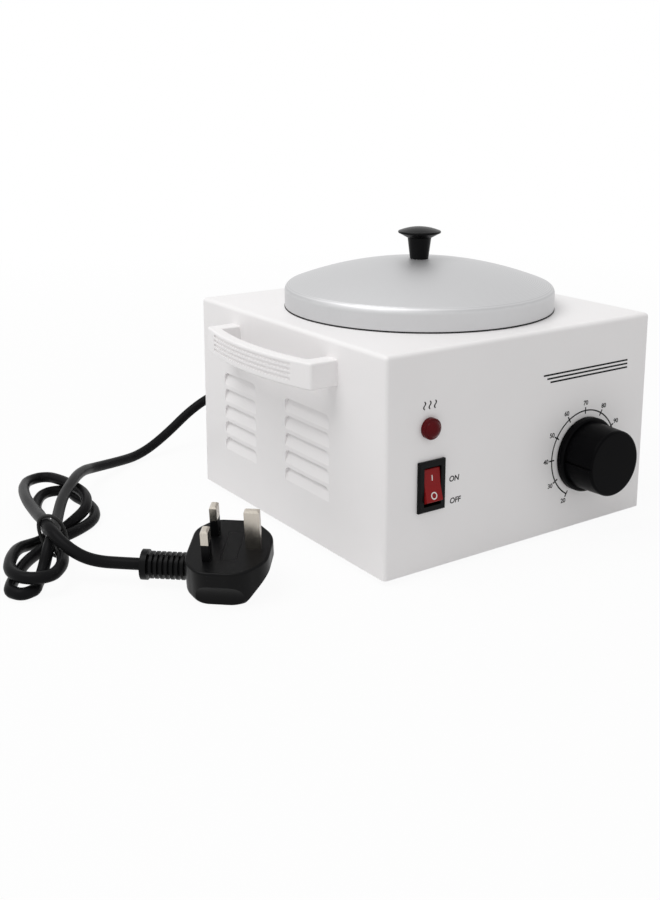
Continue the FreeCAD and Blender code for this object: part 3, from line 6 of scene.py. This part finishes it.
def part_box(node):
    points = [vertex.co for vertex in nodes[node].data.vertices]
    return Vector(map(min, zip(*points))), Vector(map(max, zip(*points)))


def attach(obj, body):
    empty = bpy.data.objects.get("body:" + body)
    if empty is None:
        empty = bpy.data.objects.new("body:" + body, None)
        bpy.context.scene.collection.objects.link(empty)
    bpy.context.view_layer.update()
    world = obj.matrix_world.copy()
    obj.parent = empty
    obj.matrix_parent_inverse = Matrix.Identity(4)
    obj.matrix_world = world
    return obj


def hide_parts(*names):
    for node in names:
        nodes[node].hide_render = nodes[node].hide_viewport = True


# A wax warmer: white moulded housing, satin aluminium lid over a lift-out pot, black knob,
# red rocker switch and lamp, and a black mains lead tied in a hank. Metres, +Z up, front is -Y.
# The solids keep their shapes and get their finishes here; the lead and its tie replace theirs.

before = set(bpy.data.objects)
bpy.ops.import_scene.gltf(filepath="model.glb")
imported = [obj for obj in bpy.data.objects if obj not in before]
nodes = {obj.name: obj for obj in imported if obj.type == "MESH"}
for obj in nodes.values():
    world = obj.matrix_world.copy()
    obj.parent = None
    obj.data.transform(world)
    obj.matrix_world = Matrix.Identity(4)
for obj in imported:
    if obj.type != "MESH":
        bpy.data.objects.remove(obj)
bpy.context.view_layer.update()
MM = 0.001


# Small tools

def middle(name):
    """Middle of a solid's box."""
    low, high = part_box(name)
    return (low + high) / 2


def fresh():
    """Nothing selected, before the next piece is started."""
    bpy.ops.object.select_all(action="DESELECT")


def linear(hex_colour):
    """Linear colour with alpha from an sRGB hex value."""
    channels = [int(hex_colour[i:i + 2], 16) / 255 for i in (1, 3, 5)]
    return tuple(c / 12.92 if c <= 0.04045 else ((c + 0.055) / 1.055) ** 2.4 for c in channels) + (1.0,)


def add(tree, kind, inputs=(), **settings):
    """Add a node with its settings; an input takes a plain value or another node's socket."""
    made = tree.nodes.new(kind)
    for name, value in settings.items():
        setattr(made, name, value)
    for name, value in dict(inputs).items():
        if isinstance(value, bpy.types.NodeSocket):
            tree.links.new(value, made.inputs[name])
        else:
            made.inputs[name].default_value = value
    return made


def new_material(name):
    """Empty material with its node tree and the Object coordinates that its patterns read."""
    material = bpy.data.materials.new(name)
    material.use_nodes = True
    tree = material.node_tree
    tree.nodes.clear()
    place = add(tree, "ShaderNodeTexCoord").outputs["Object"]
    return material, tree, place


def per_metre(size_mm):
    """Noise scale whose grains are about this many millimetres wide."""
    return 1 / (size_mm * MM)


# Places that the printing, the marks and the spun rings are set out from
PANEL_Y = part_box("housing_shell")[0].y
POT_Y = middle("lid_shell").y
KNOB = middle("control_knob")
LAMP_X = middle("lamp_lens").x
ROCKER = middle("switch_rocker")


# Camera at the photograph's viewing angle

CAMERA_AT = (-0.4360, -0.5287, 0.2601)
CAMERA_LOOK = (0.5518, 0.8059, -0.2144)
LENS_MM = 45.92
SENSOR_MM = 36.0
FRAME_SHIFT = -0.1333     # the middle of the frame lies below the camera's axis
NEAR_CLIP = 0.01
fresh()
bpy.ops.object.camera_add(location=CAMERA_AT,
                          rotation=Vector(CAMERA_LOOK).to_track_quat("-Z", "Y").to_euler())
camera = bpy.context.object
camera.data.lens = LENS_MM
camera.data.sensor_width = SENSOR_MM
camera.data.shift_y = FRAME_SHIFT
camera.data.clip_start = NEAR_CLIP
bpy.context.scene.camera = camera
bpy.context.scene.view_settings.view_transform = "Standard"


# Mains lead

# The lead leaves the gland at the back, drops to the floor, rises over the tied hank, winds
# twice through its loops and runs on to the plug.
CORD_D = 0.0066
GLAND_TIP = (-0.0300, 0.1355, 0.0475)
LEAD_ROUTE = [
    GLAND_TIP,
    (-0.0300, 0.1485, 0.0475),
    (-0.0340, 0.1618, 0.0452),
    (-0.0430, 0.1734, 0.0410),
    (-0.0566, 0.1812, 0.0345),
    (-0.0715, 0.1833, 0.0258),
    (-0.0874, 0.1816, 0.0152),
    (-0.1031, 0.1785, 0.0074),
    (-0.1160, 0.1746, 0.0042),
    (-0.1282, 0.1694, 0.0044),
]
TAIL_ROUTE = [
    (-0.2260, 0.0106, 0.0150),
    (-0.2180, 0.0056, 0.0116),
    (-0.2077, -0.0018, 0.0108),
    (-0.1994, -0.0090, 0.0108),
]
HANK_AT = Vector((-0.2245, 0.0678, 0.0))
HANK_TURN = math.radians(24.4)
# Places that the wound cord passes, in millimetres along and across from the crossing and above
# the floor, with its heading in degrees from along towards across and its rise per length
WOUND = [
    # over both upper loops and down past the crossing
    (106.0, 27.0, 9.0, 209, 0.24), (81.0, 18.8, 15.2, 193, 0.17), (52.0, 13.6, 18.2, 189, 0.03),
    (30.3, 10.2, 18.4, 186, 0.0), (-8.0, 8.2, 17.9, 181, 0.0), (-30.0, 7.0, 17.6, 187, -0.06),
    # first lower loop, on the floor
    (-56.0, 0.6, 3.3, 189, 0.0), (-66.8, -2.2, 3.3, 226, 0.0), (-69.0, -6.4, 3.3, 270, 0.0),
    (-66.8, -10.6, 3.3, 314, 0.0), (-55.0, -12.8, 3.3, 367, 0.0), (-18.8, -3.0, 3.3, 388, 0.0),
    # first upper loop, on the floor and up over its own start
    (5.4, 12.0, 3.3, 44, 0.0), (36.7, 27.4, 3.3, -2, 0.0), (64.0, 17.6, 3.3, -33, 0.0),
    (81.5, 4.1, 3.3, -90, 0.0), (64.0, -8.0, 3.9, -178, 0.0), (5.3, 0.6, 10.7, -193, 0.0),
    # second lower loop, over the first and down to the floor
    (-24.9, 9.0, 10.5, 166, 0.0), (-48.8, 13.0, 10.6, 181, 0.0), (-67.4, 1.6, 10.7, 270, 0.0),
    (-48.6, -14.2, 10.6, 358, 0.0), (-13.0, -8.6, 6.3, 386, -0.24), (1.7, -0.6, 3.4, 396, 0.0),
    # second upper loop, over the first
    (18.0, 13.6, 5.4, 44, 0.3), (35.0, 22.8, 10.0, 2, 0.12), (58.0, 18.8, 10.8, -24, 0.0),
    (80.0, 5.4, 10.8, -40, 0.0), (88.2, -5.0, 10.5, -84, 0.0), (82.6, -13.4, 10.9, -148, 0.06),
    (70.0, -15.9, 12.0, -180, 0.12), (38.0, -12.4, 16.0, -190, 0.13),
    # over everything, under the tie and away to the plug
    (2.3, -4.2, 20.4, 166, 0.13), (-33.0, 5.4, 24.7, 163, 0.0), (-50.1, 17.7, 18.0, 124, -0.42),
]
SAME_HEADING = 1e-6       # headings that differ by less than this are taken as one
# The tie's one closed loop round the three strands that cross it: millimetres across and above
# the floor of its corners, at one place along the hank
TIE_D = 0.0020
TIE_ALONG = -29.0
TIE_CORNERS = [(5.4, 5.6), (14.4, 5.2), (14.8, 18.4), (9.4, 29.0), (0.4, 29.4), (-0.4, 20.4)]


def hank_vector(along, across, height):
    """Direction or distance on the hank, turned into the object's frame."""
    return Vector((along * math.sin(HANK_TURN) + across * math.cos(HANK_TURN),
                   along * math.cos(HANK_TURN) - across * math.sin(HANK_TURN), height))


def hank_place(along, across, height):
    """Place on the hank in metres from its millimetres."""
    return HANK_AT + hank_vector(along, across, height) * MM


def hank_turns():
    """Control points of the wound loops: two between each place and the next, on their headings,
    twice as far from each other as each is from its place."""
    places = []
    for along, across, height, heading, rise in WOUND:
        turn = math.radians(heading)
        places.append((hank_place(along, across, height),
                       hank_vector(math.cos(turn), math.sin(turn), rise).normalized()))
    points = []
    for (here, leave), (there, arrive) in zip(places, places[1:]):
        span = there - here
        bend = 2 * (1 - leave.dot(arrive))
        mean = span.dot(leave + arrive)
        if bend < SAME_HEADING:
            reach = span.length_squared / (2 * mean)
        else:
            reach = (math.sqrt(mean ** 2 + bend * span.length_squared) - mean) / bend
        points += [here + leave * reach, there - arrive * reach]
    return points


def smooth_line(name, points, diameter):
    """Round piece along one NURBS line that has these control points."""
    curve = bpy.data.curves.new(name, "CURVE")
    curve.dimensions = "3D"
    curve.bevel_depth = diameter / 2
    line = curve.splines.new("NURBS")
    line.points.add(len(points) - 1)
    for control, at in zip(line.points, points):
        control.co = (*at, 1.0)
    line.order_u = 3
    piece = bpy.data.objects.new(name, curve)
    bpy.context.scene.collection.objects.link(piece)
    return piece, line


cord, cord_line = smooth_line("mains_lead", LEAD_ROUTE + hank_turns() + TAIL_ROUTE, CORD_D)
cord_line.use_endpoint_u = True
cord_line.resolution_u = 12
cord.data.bevel_resolution = 5
cord.data.use_fill_caps = True

tie, tie_line = smooth_line("hank_tie", [hank_place(TIE_ALONG, *corner) for corner in TIE_CORNERS], TIE_D)
tie_line.use_cyclic_u = True
tie_line.resolution_u = 10
tie.data.bevel_resolution = 3


# Materials

# Real grain and tool rings, 0.1 to 0.3 mm, are too fine for the render to show. Each is drawn as
# wide as its call says, so that it shows. Depths are in millimetres too.

def surface(tree, shade, sheen, relief, dark, light, gloss, depth_mm, bump, **constants):
    """Shader whose colour, roughness and bump follow three patterns, with its plain values."""
    tint = add(tree, "ShaderNodeMix", {"Factor": shade, "A": linear(dark), "B": linear(light)},
               data_type="RGBA")
    rough = add(tree, "ShaderNodeMapRange", {"Value": sheen, "To Min": gloss[0], "To Max": gloss[1]})
    skin = add(tree, "ShaderNodeBump", {"Height": relief, "Strength": bump, "Distance": depth_mm * MM})
    shader = add(tree, "ShaderNodeBsdfPrincipled", {
        "Base Color": tint.outputs["Result"], "Roughness": rough.outputs["Result"],
        "Normal": skin.outputs["Normal"], **constants})
    add(tree, "ShaderNodeOutputMaterial", {"Surface": shader.outputs["BSDF"]})


def moulded(name, dark, light, gloss, grain_mm, depth_mm, cloud_mm=45.0, ior=1.5, specular=0.5):
    """Moulded plastic, rubber or ink: a slow change of shade, and a fine grain in gloss and relief."""
    material, tree, place = new_material(name)
    cloud = add(tree, "ShaderNodeTexNoise", {
        "Vector": place, "Scale": per_metre(cloud_mm), "Detail": 4.0}).outputs["Fac"]
    grain = add(tree, "ShaderNodeTexNoise", {
        "Vector": place, "Scale": per_metre(grain_mm), "Detail": 2.0}).outputs["Fac"]
    surface(tree, cloud, grain, grain, dark, light, gloss, depth_mm, bump=0.3,
            **{"IOR": ior, "Specular IOR Level": specular})
    return material


def bare_metal(name, dark, light, gloss, grain_mm, depth_mm, stretch=(1.0, 1.0, 1.0)):
    """Metal with a drawn or plated grain, stretched along the way that it was worked."""
    material, tree, place = new_material(name)
    turned = add(tree, "ShaderNodeMapping", {"Vector": place, "Scale": stretch}).outputs["Vector"]
    grain = add(tree, "ShaderNodeTexNoise", {
        "Vector": turned, "Scale": per_metre(grain_mm), "Detail": 5.0}).outputs["Fac"]
    surface(tree, grain, grain, grain, dark, light, gloss, depth_mm, bump=0.2, Metallic=1.0)
    return material


def spun_metal(name, dark, light, gloss, pitch_mm, depth_mm, cloud_mm=60.0):
    """Sheet metal spun on a lathe: rings round the pot's axis, and a slow cloud of gloss."""
    material, tree, place = new_material(name)
    centred = add(tree, "ShaderNodeMapping", {
        "Vector": place, "Location": (0.0, -POT_Y, 0.0)}).outputs["Vector"]
    # at a scale of 1 the rings repeat every pi / 10
    rings = add(tree, "ShaderNodeTexWave", {
        "Vector": centred, "Scale": math.pi / 10 / (pitch_mm * MM), "Distortion": 1.2,
        "Detail": 3.0, "Detail Scale": 0.6}, wave_type="RINGS", rings_direction="Z").outputs["Fac"]
    cloud = add(tree, "ShaderNodeTexNoise", {
        "Vector": centred, "Scale": per_metre(cloud_mm), "Detail": 3.0}).outputs["Fac"]
    surface(tree, rings, cloud, rings, dark, light, gloss, depth_mm, bump=0.25, Metallic=1.0)
    return material


# Injection-moulded ABS: white, satin, its spark-eroded grain of 0.2 mm softens the reflections.
white_abs = moulded("moulded white ABS", "#F1EFEF", "#F6F4F4", (0.38, 0.48), 0.9, 0.03, ior=1.53)
# Spun aluminium, satin: fine tool rings of 0.3 mm under a soft grey sheen.
lid_metal = spun_metal("satin spun aluminium", "#C1C1C2", "#CCCCCD", (0.50, 0.58), 1.1, 0.012)
# Deep-drawn aluminium, washed bright: clearer reflections than the lid, faint draw rings.
pot_metal = spun_metal("drawn bright aluminium", "#D0D0D2", "#D6D6D8", (0.24, 0.28), 1.6, 0.010)
# Compression-moulded phenolic: deep black, a low gloss with soft broad highlights.
phenolic = moulded("moulded black phenolic", "#050506", "#09090A", (0.26, 0.36), 0.7, 0.02,
                   ior=1.6, specular=0.07)
# Moulded ABS of the control knob: black and evenly dull, with a fine tool grain.
knob_abs = moulded("moulded black ABS", "#050506", "#08080A", (0.30, 0.40), 0.7, 0.02,
                   ior=1.53, specular=0.03)
# Glass-filled nylon of switch, lamp, nuts and pin sleeves: black, a little duller, faintly speckled.
frame_nylon = moulded("black glass-filled nylon", "#060607", "#0B0B0C", (0.38, 0.48), 0.5, 0.03,
                      ior=1.53, specular=0.1)
# Soft PVC of the lead: deep black with a faint orange-peel skin and a thin sheen.
cord_pvc = moulded("soft black PVC", "#131314", "#1B1B1C", (0.28, 0.38), 1.4, 0.05,
                   ior=1.54, specular=0.03)
# Harder PVC of the plug and its boot: black with a waxy half-gloss.
plug_pvc = moulded("moulded black PVC", "#060607", "#0B0B0C", (0.30, 0.42), 1.4, 0.05,
                   ior=1.54, specular=0.09)
# Polycarbonate rocker: clear red colour, glossy, its depth a little uneven.
rocker_red = moulded("moulded red polycarbonate", "#82191B", "#8F1D1F", (0.20, 0.28), 1.0, 0.01,
                     ior=1.58, specular=0.09)
# Tinted acrylic lens: dark wine red, polished, mottled by what lies behind it.
lens_red = moulded("tinted red acrylic", "#4C0C10", "#5E1318", (0.16, 0.24), 1.2, 0.01,
                   cloud_mm=9.0, ior=1.49, specular=0.07)
# Nickel-plated brass pins: warm pale grey with fine drawn lines.
pin_nickel = bare_metal("nickel-plated brass", "#B9B2A8", "#D2CBC0", (0.20, 0.30), 0.6, 0.01,
                        stretch=(1.0, 1.0, 0.1))
# Zinc-plated steel of screws, washers and brackets: bluish grey with a mottled plating.
zinc_steel = bare_metal("zinc-plated steel", "#A4A8AE", "#C4C8CC", (0.28, 0.42), 1.8, 0.01)
# Galvanised sheet of the base: larger spangles, dull.
sheet_steel = bare_metal("galvanised sheet steel", "#9DA1A5", "#BCC0C3", (0.38, 0.55), 6.0, 0.02)
# Brass of terminals, capillary and bulb: yellow metal, a little tarnished.
brass = bare_metal("tarnished brass", "#A8823C", "#CFAE63", (0.25, 0.42), 1.2, 0.01)
# Moulded rubber of feet, gasket, gland and tie: matt black with a dusty bloom. The gasket's black under
# the lid's rim is partly painted shade: it also draws the dark shadow line of the gap there.
rubber = moulded("moulded black rubber", "#121212", "#1C1C1B", (0.66, 0.80), 0.6, 0.05)
# Natural nylon of the terminal block: creamy, with a soft gloss.
block_nylon = moulded("natural nylon", "#DAD5C6", "#E8E4D8", (0.40, 0.50), 0.8, 0.02)
# Silicone insulation of the inner wires: dull, each in its circuit's colour, earth green and yellow.
wire_brown = moulded("brown silicone insulation", "#4A2A18", "#5E3822", (0.55, 0.65), 0.5, 0.02)
wire_blue = moulded("blue silicone insulation", "#1F3F86", "#2B519E", (0.55, 0.65), 0.5, 0.02)
wire_green = moulded("green silicone insulation", "#3F7A2C", "#B9B832", (0.55, 0.65), 0.5, 0.02,
                     cloud_mm=6.0)
# Mica band of the heater: layered brown flakes with a slight shine.
mica = moulded("mica band", "#8C744C", "#B89C6C", (0.35, 0.55), 3.0, 0.05, cloud_mm=8.0)
# Screen-printing inks: matt and slightly uneven in cover.
black_ink = moulded("black printing ink", "#050506", "#0B0B0C", (0.55, 0.68), 0.3, 0.004,
                    cloud_mm=2.0, specular=0.2)
white_ink = moulded("white printing ink", "#DFDDD9", "#ECEAE6", (0.48, 0.60), 0.3, 0.004,
                    cloud_mm=2.0)

finishes = [
    (white_abs, ["housing_shell", "handle_left", "handle_right"]),
    (lid_metal, ["lid_shell"]),
    (pot_metal, ["inner_pot", "heating_well"]),
    (phenolic, ["lid_knob", "thermostat_body"]),
    (knob_abs, ["control_knob"]),
    (frame_nylon, ["switch_body", "lamp_body", "lamp_nut", "gland_nut", "pin_sleeves"]),
    (cord_pvc, ["cord_from_gland", "cord_hank", "cord_to_plug", "cord_tail", "cord_tie"]),
    (plug_pvc, ["plug_body", "plug_relief", "plug_fuse_cover"]),
    (rocker_red, ["switch_rocker"]),
    (lens_red, ["lamp_lens"]),
    (pin_nickel, ["plug_pin_earth", "plug_pin_live", "plug_pin_neutral"]),
    (zinc_steel, ["base_screws", "foot_screws", "handle_screws", "heater_clamp", "well_stud",
                  "stud_washer", "stud_nut", "fuse_band", "thermal_fuse", "thermostat_screws",
                  "thermostat_shaft", "bulb_clip", "lid_screw", "lid_washer", "block_screws",
                  "terminal_screws"]),
    (sheet_steel, ["base_plate"]),
    (brass, ["switch_terminals", "capillary_tube", "sensing_bulb"]),
    # the gasket's black ring under the lid is partly painted shade, the dark shadow line of the gap under
    # the rim
    (rubber, ["rubber_feet", "lid_gasket", "cord_gland"]),
    (block_nylon, ["terminal_block"]),
    (wire_brown, ["wire_switch_feed", "wire_thermostat_feed", "wire_fuse_feed", "wire_fuse_heater",
                  "cord_cores"]),
    (wire_blue, ["wire_heater_neutral"]),
    (wire_green, ["wire_earth"]),
    (mica, ["heater_element"]),
]
for material, names in finishes:
    for name in names:
        nodes[name].data.materials.clear()
        nodes[name].data.materials.append(material)
cord.data.materials.append(cord_pvc)
tie.data.materials.append(rubber)


# Printing on the panel

INK_T = 0.00008           # a screen-printed coat that lies on the panel
INK_Y = PANEL_Y - INK_T / 2
CAPITAL = 0.69            # height of a capital or a number over the size of Blender's own font

DIAL_R = 0.0258
DIAL_LINE = 0.0008
DIAL_START = 210          # degrees round from 12 o'clock, so at 7 o'clock
DIAL_STEP = 30            # degrees from tick to tick
DIAL_TICKS = 11
DIAL_FACETS = 100
MERGE = 0.000002          # points closer than this are one
TICK_L = 0.0040
NUMBER_R = 0.0303
NUMBER_H = 0.0026
FIRST_NUMBER = 20
NUMBER_STEP = 10

RULE_W = 0.0010
RULE_END = 0.0805
RULE_STARTS = [(0.0122, 0.0978), (0.0150, 0.0956), (0.0176, 0.0934)]     # x and height

WORD_H = 0.0030
WORD_SLANT = 0.12
SWITCH_WORDS = [("ON", -0.0518, 0.0508), ("OFF", -0.0507, 0.0383)]

WAVE_Z = 0.0945
WAVE_L = 0.0044
WAVE_W = 0.0008
WAVE_SWELL = 0.0006
WAVE_SPACING = 0.0036
WAVE_CUTS = 18


def settle(name, material):
    """Name the active piece, put its place into its mesh and give it its finish."""
    piece = bpy.context.object
    bpy.ops.object.transform_apply(location=True, rotation=True, scale=True)
    piece.name = name
    piece.data.materials.clear()
    piece.data.materials.append(material)
    return piece


def ink_word(word, height, x, z, slant=0.0):
    """Word printed on the panel, its middle at a place, as a thin raised coat."""
    fresh()
    bpy.ops.object.text_add(location=(x, INK_Y, z), rotation=(math.pi / 2, 0, 0))
    text = bpy.context.object.data
    text.body = word
    text.size = height / CAPITAL
    text.align_x = "CENTER"
    text.align_y = "CENTER"
    text.shear = slant
    text.extrude = INK_T / 2
    text.offset = INK_T
    bpy.ops.object.convert(target="MESH")
    return settle("word", black_ink)


def ink_bar(name, material, size, at):
    """Straight bar of ink with softened edges."""
    fresh()
    bpy.ops.mesh.primitive_cube_add(size=1, location=at, scale=size)
    bpy.ops.object.transform_apply(location=False, rotation=False, scale=True)
    bpy.ops.object.mode_set(mode="EDIT")
    bpy.ops.mesh.select_all(action="SELECT")
    bpy.ops.mesh.bevel(offset=INK_T / 4, segments=1, affect="EDGES")
    bpy.ops.object.mode_set(mode="OBJECT")
    return settle(name, material)


def ink_coat(name, material, offset):
    """Give the active flat piece the thickness of a coat, inwards at -1 or to both sides at 0."""
    coat = bpy.context.object.modifiers.new("coat", "SOLIDIFY")
    coat.thickness = INK_T
    coat.offset = offset
    bpy.ops.object.modifier_apply(modifier="coat")
    return settle(name, material)


def joined(pieces, name):
    """One piece from several that are printed together."""
    fresh()
    for piece in pieces:
        piece.select_set(True)
    bpy.context.view_layer.objects.active = pieces[0]
    bpy.ops.object.join()
    pieces[0].name = name
    return pieces[0]


# Dial: one arc swept from a small section, ticks across it and plain numbers outside it
DIAL_CENTRE = Vector((KNOB.x, INK_Y, KNOB.z))
start = math.radians(DIAL_START)
fresh()
bpy.ops.mesh.primitive_plane_add(size=1, location=(KNOB.x + DIAL_R * math.sin(start), INK_Y,
                                                   KNOB.z + DIAL_R * math.cos(start)))
dial = bpy.context.object
bpy.ops.object.mode_set(mode="EDIT")
bpy.ops.mesh.select_all(action="SELECT")
bpy.ops.transform.resize(value=(DIAL_LINE, INK_T, 1))
bpy.ops.object.mode_set(mode="OBJECT")
dial.rotation_euler = (0, start - math.pi / 2, 0)
bpy.ops.object.transform_apply(location=True, rotation=True, scale=True)
bpy.ops.object.mode_set(mode="EDIT")
bpy.ops.mesh.select_all(action="SELECT")
bpy.ops.mesh.spin(steps=DIAL_FACETS, angle=math.radians(DIAL_STEP * (DIAL_TICKS - 1)),
                  center=DIAL_CENTRE, axis=(0, -1, 0))
bpy.ops.mesh.select_all(action="SELECT")
bpy.ops.mesh.remove_doubles(threshold=MERGE)
bpy.ops.mesh.normals_make_consistent(inside=False)
bpy.ops.object.mode_set(mode="OBJECT")
dial_marks = [settle("dial_arc", black_ink)]
for step in range(DIAL_TICKS):
    turn = math.radians(DIAL_START + DIAL_STEP * step)
    tick = ink_bar("tick", black_ink, (TICK_L, INK_T, DIAL_LINE), DIAL_CENTRE)
    swing = Matrix.Translation(DIAL_CENTRE) @ Matrix.Rotation(turn - math.pi / 2, 4, "Y")
    outward = Matrix.Translation((DIAL_R, 0, 0))
    tick.data.transform(swing @ outward @ Matrix.Translation(-DIAL_CENTRE))
    number = ink_word(str(FIRST_NUMBER + NUMBER_STEP * step), NUMBER_H,
                      KNOB.x + NUMBER_R * math.sin(turn), KNOB.z + NUMBER_R * math.cos(turn))
    dial_marks += [tick, number]
dial_print = joined(dial_marks, "dial_print")

rules = joined([ink_bar("rule", black_ink, (RULE_END - x, INK_T, RULE_W), ((x + RULE_END) / 2, INK_Y, z))
                for x, z in RULE_STARTS], "panel_rules")

switch_words = joined([ink_word(word, WORD_H, x, z, WORD_SLANT) for word, x, z in SWITCH_WORDS],
                      "switch_words")

# Heat sign over the lamp: three rising waves, each a strip with a swell along it
waves = []
for column in (-1, 0, 1):
    fresh()
    bpy.ops.mesh.primitive_grid_add(x_subdivisions=1, y_subdivisions=WAVE_CUTS, size=1,
                                    location=(LAMP_X + WAVE_SPACING * column, PANEL_Y - INK_T, WAVE_Z),
                                    rotation=(math.pi / 2, 0, 0))
    bpy.ops.object.mode_set(mode="EDIT")
    bpy.ops.mesh.select_all(action="SELECT")
    bpy.ops.transform.resize(value=(WAVE_W, 1, WAVE_L))
    bpy.ops.object.mode_set(mode="OBJECT")
    bpy.ops.object.transform_apply(location=True, rotation=True, scale=True)
    for vertex in bpy.context.object.data.vertices:
        vertex.co.x += WAVE_SWELL * math.sin((vertex.co.z - WAVE_Z) / WAVE_L * 2 * math.pi)
    waves.append(ink_coat("wave", black_ink, -1))
heat_sign = joined(waves, "heat_sign")


# Marks on the rocker

RING_R = 0.0014
RING_GROWTH = 1.45        # outer radius over inner
RING_SIDES = 40
RING_Z = ROCKER.z - 0.0048
BAR_SIZE = (0.0006, 0.0030, INK_T)
BAR_Z = ROCKER.z + 0.0046
FACING_FRONT = -0.8       # a face whose normal points further forwards than this is on the front
WIDE_FACE = 4e-6          # square metres; smaller faces belong to the rounded edges


def rocker_face(at_z):
    """Middle line place and outward direction of the rocker's face at a height."""
    fronts = [face for face in nodes["switch_rocker"].data.polygons
              if face.normal.y < FACING_FRONT and face.area > WIDE_FACE]
    nearest = min(fronts, key=lambda face: abs(face.center.z - at_z))
    normal = nearest.normal.copy()
    spot = Vector((ROCKER.x, 0, at_z))
    across = spot - nearest.center
    spot.y = nearest.center.y - (across.x * normal.x + across.z * normal.z) / normal.y
    return spot, normal


def laid_on(piece, spot, normal):
    """Turn a mark that was made flat, facing up at the origin, on to a face."""
    turn = normal.to_track_quat("Z", "Y").to_matrix().to_4x4()
    piece.data.transform(Matrix.Translation(spot) @ turn)


fresh()
bpy.ops.mesh.primitive_circle_add(vertices=RING_SIDES, radius=RING_R, fill_type="NOTHING")
bpy.ops.object.mode_set(mode="EDIT")
bpy.ops.mesh.select_all(action="SELECT")
bpy.ops.mesh.extrude_region_move()
bpy.ops.transform.resize(value=(RING_GROWTH, RING_GROWTH, 1))
bpy.ops.object.mode_set(mode="OBJECT")
off_ring = ink_coat("rocker_ring", white_ink, 0)
laid_on(off_ring, *rocker_face(RING_Z))

on_bar = ink_bar("rocker_bar", white_ink, BAR_SIZE, (0, 0, 0))
laid_on(on_bar, *rocker_face(BAR_Z))


# Studio

FLOOR_SIZE = 8.0
FLOOR_GREY = linear("#E6E6E6")
WHITE = linear("#FFFFFF")
NEAR, FAR = 0.35, 1.1     # metres from the origin, which lies under the housing
NEAR_WHITE = 0.94         # white that the floor shows near the object; the rest is its shaded paint
FILL_LIGHT = 0.605
KEY_AT = (-0.85, 0.08, 1.50)
KEY_AIM = Vector((0, 0, 0.06))
KEY_SIZE = 1.2
KEY_WATTS = 12.0


def backdrop_rays(tree):
    """1 for what the camera sees, straight or by a mirror or glass, and 0 for what lights the object."""
    rays = add(tree, "ShaderNodeLightPath").outputs
    seen = add(tree, "ShaderNodeMath", {0: rays["Is Camera Ray"], 1: rays["Is Glossy Ray"]},
               operation="MAXIMUM")
    seen = add(tree, "ShaderNodeMath", {0: seen.outputs[0], 1: rays["Is Transmission Ray"]},
               operation="MAXIMUM")
    return seen.outputs[0]


fresh()
bpy.ops.mesh.primitive_plane_add(size=FLOOR_SIZE, location=(0, 0, 0))
floor = bpy.context.object
floor.name = "studio_floor"
floor_paint, tree, place = new_material("pale studio floor")
away = add(tree, "ShaderNodeVectorMath", {"Vector": place}, operation="LENGTH")
clear = add(tree, "ShaderNodeMapRange", {"Value": away.outputs["Value"], "From Min": NEAR,
                                         "From Max": FAR, "To Min": NEAR_WHITE, "To Max": 1.0})
share = add(tree, "ShaderNodeMath", {0: backdrop_rays(tree), 1: clear.outputs["Result"]},
            operation="MULTIPLY")
matt = add(tree, "ShaderNodeBsdfDiffuse", {"Color": FLOOR_GREY})
glow = add(tree, "ShaderNodeEmission", {"Color": WHITE, "Strength": 1.0})
shader = add(tree, "ShaderNodeMixShader", {0: share.outputs[0], 1: matt.outputs[0], 2: glow.outputs[0]})
add(tree, "ShaderNodeOutputMaterial", {"Surface": shader.outputs[0]})
floor.data.materials.append(floor_paint)

world = bpy.data.worlds.new("studio")
bpy.context.scene.world = world
world.use_nodes = True
tree = world.node_tree
tree.nodes.clear()
fill = add(tree, "ShaderNodeBackground", {"Color": WHITE, "Strength": FILL_LIGHT})
white = add(tree, "ShaderNodeBackground", {"Color": WHITE, "Strength": 1.0})
sky = add(tree, "ShaderNodeMixShader", {0: backdrop_rays(tree), 1: fill.outputs[0], 2: white.outputs[0]})
add(tree, "ShaderNodeOutputWorld", {"Surface": sky.outputs[0]})

fresh()
bpy.ops.object.light_add(type="AREA", location=KEY_AT)
key = bpy.context.object
key.data.shape = "DISK"
key.data.size = KEY_SIZE
key.data.energy = KEY_WATTS
key.rotation_euler = (KEY_AIM - key.location).to_track_quat("-Z", "Y").to_euler()


# What rides on what

for piece in (dial_print, rules, switch_words, heat_sign):
    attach(piece, "body")
for piece in (off_ring, on_bar):
    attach(piece, "rocker")
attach(cord, "body")
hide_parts("cord_from_gland", "cord_hank", "cord_to_plug")
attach(tie, "body")
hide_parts("cord_tie")
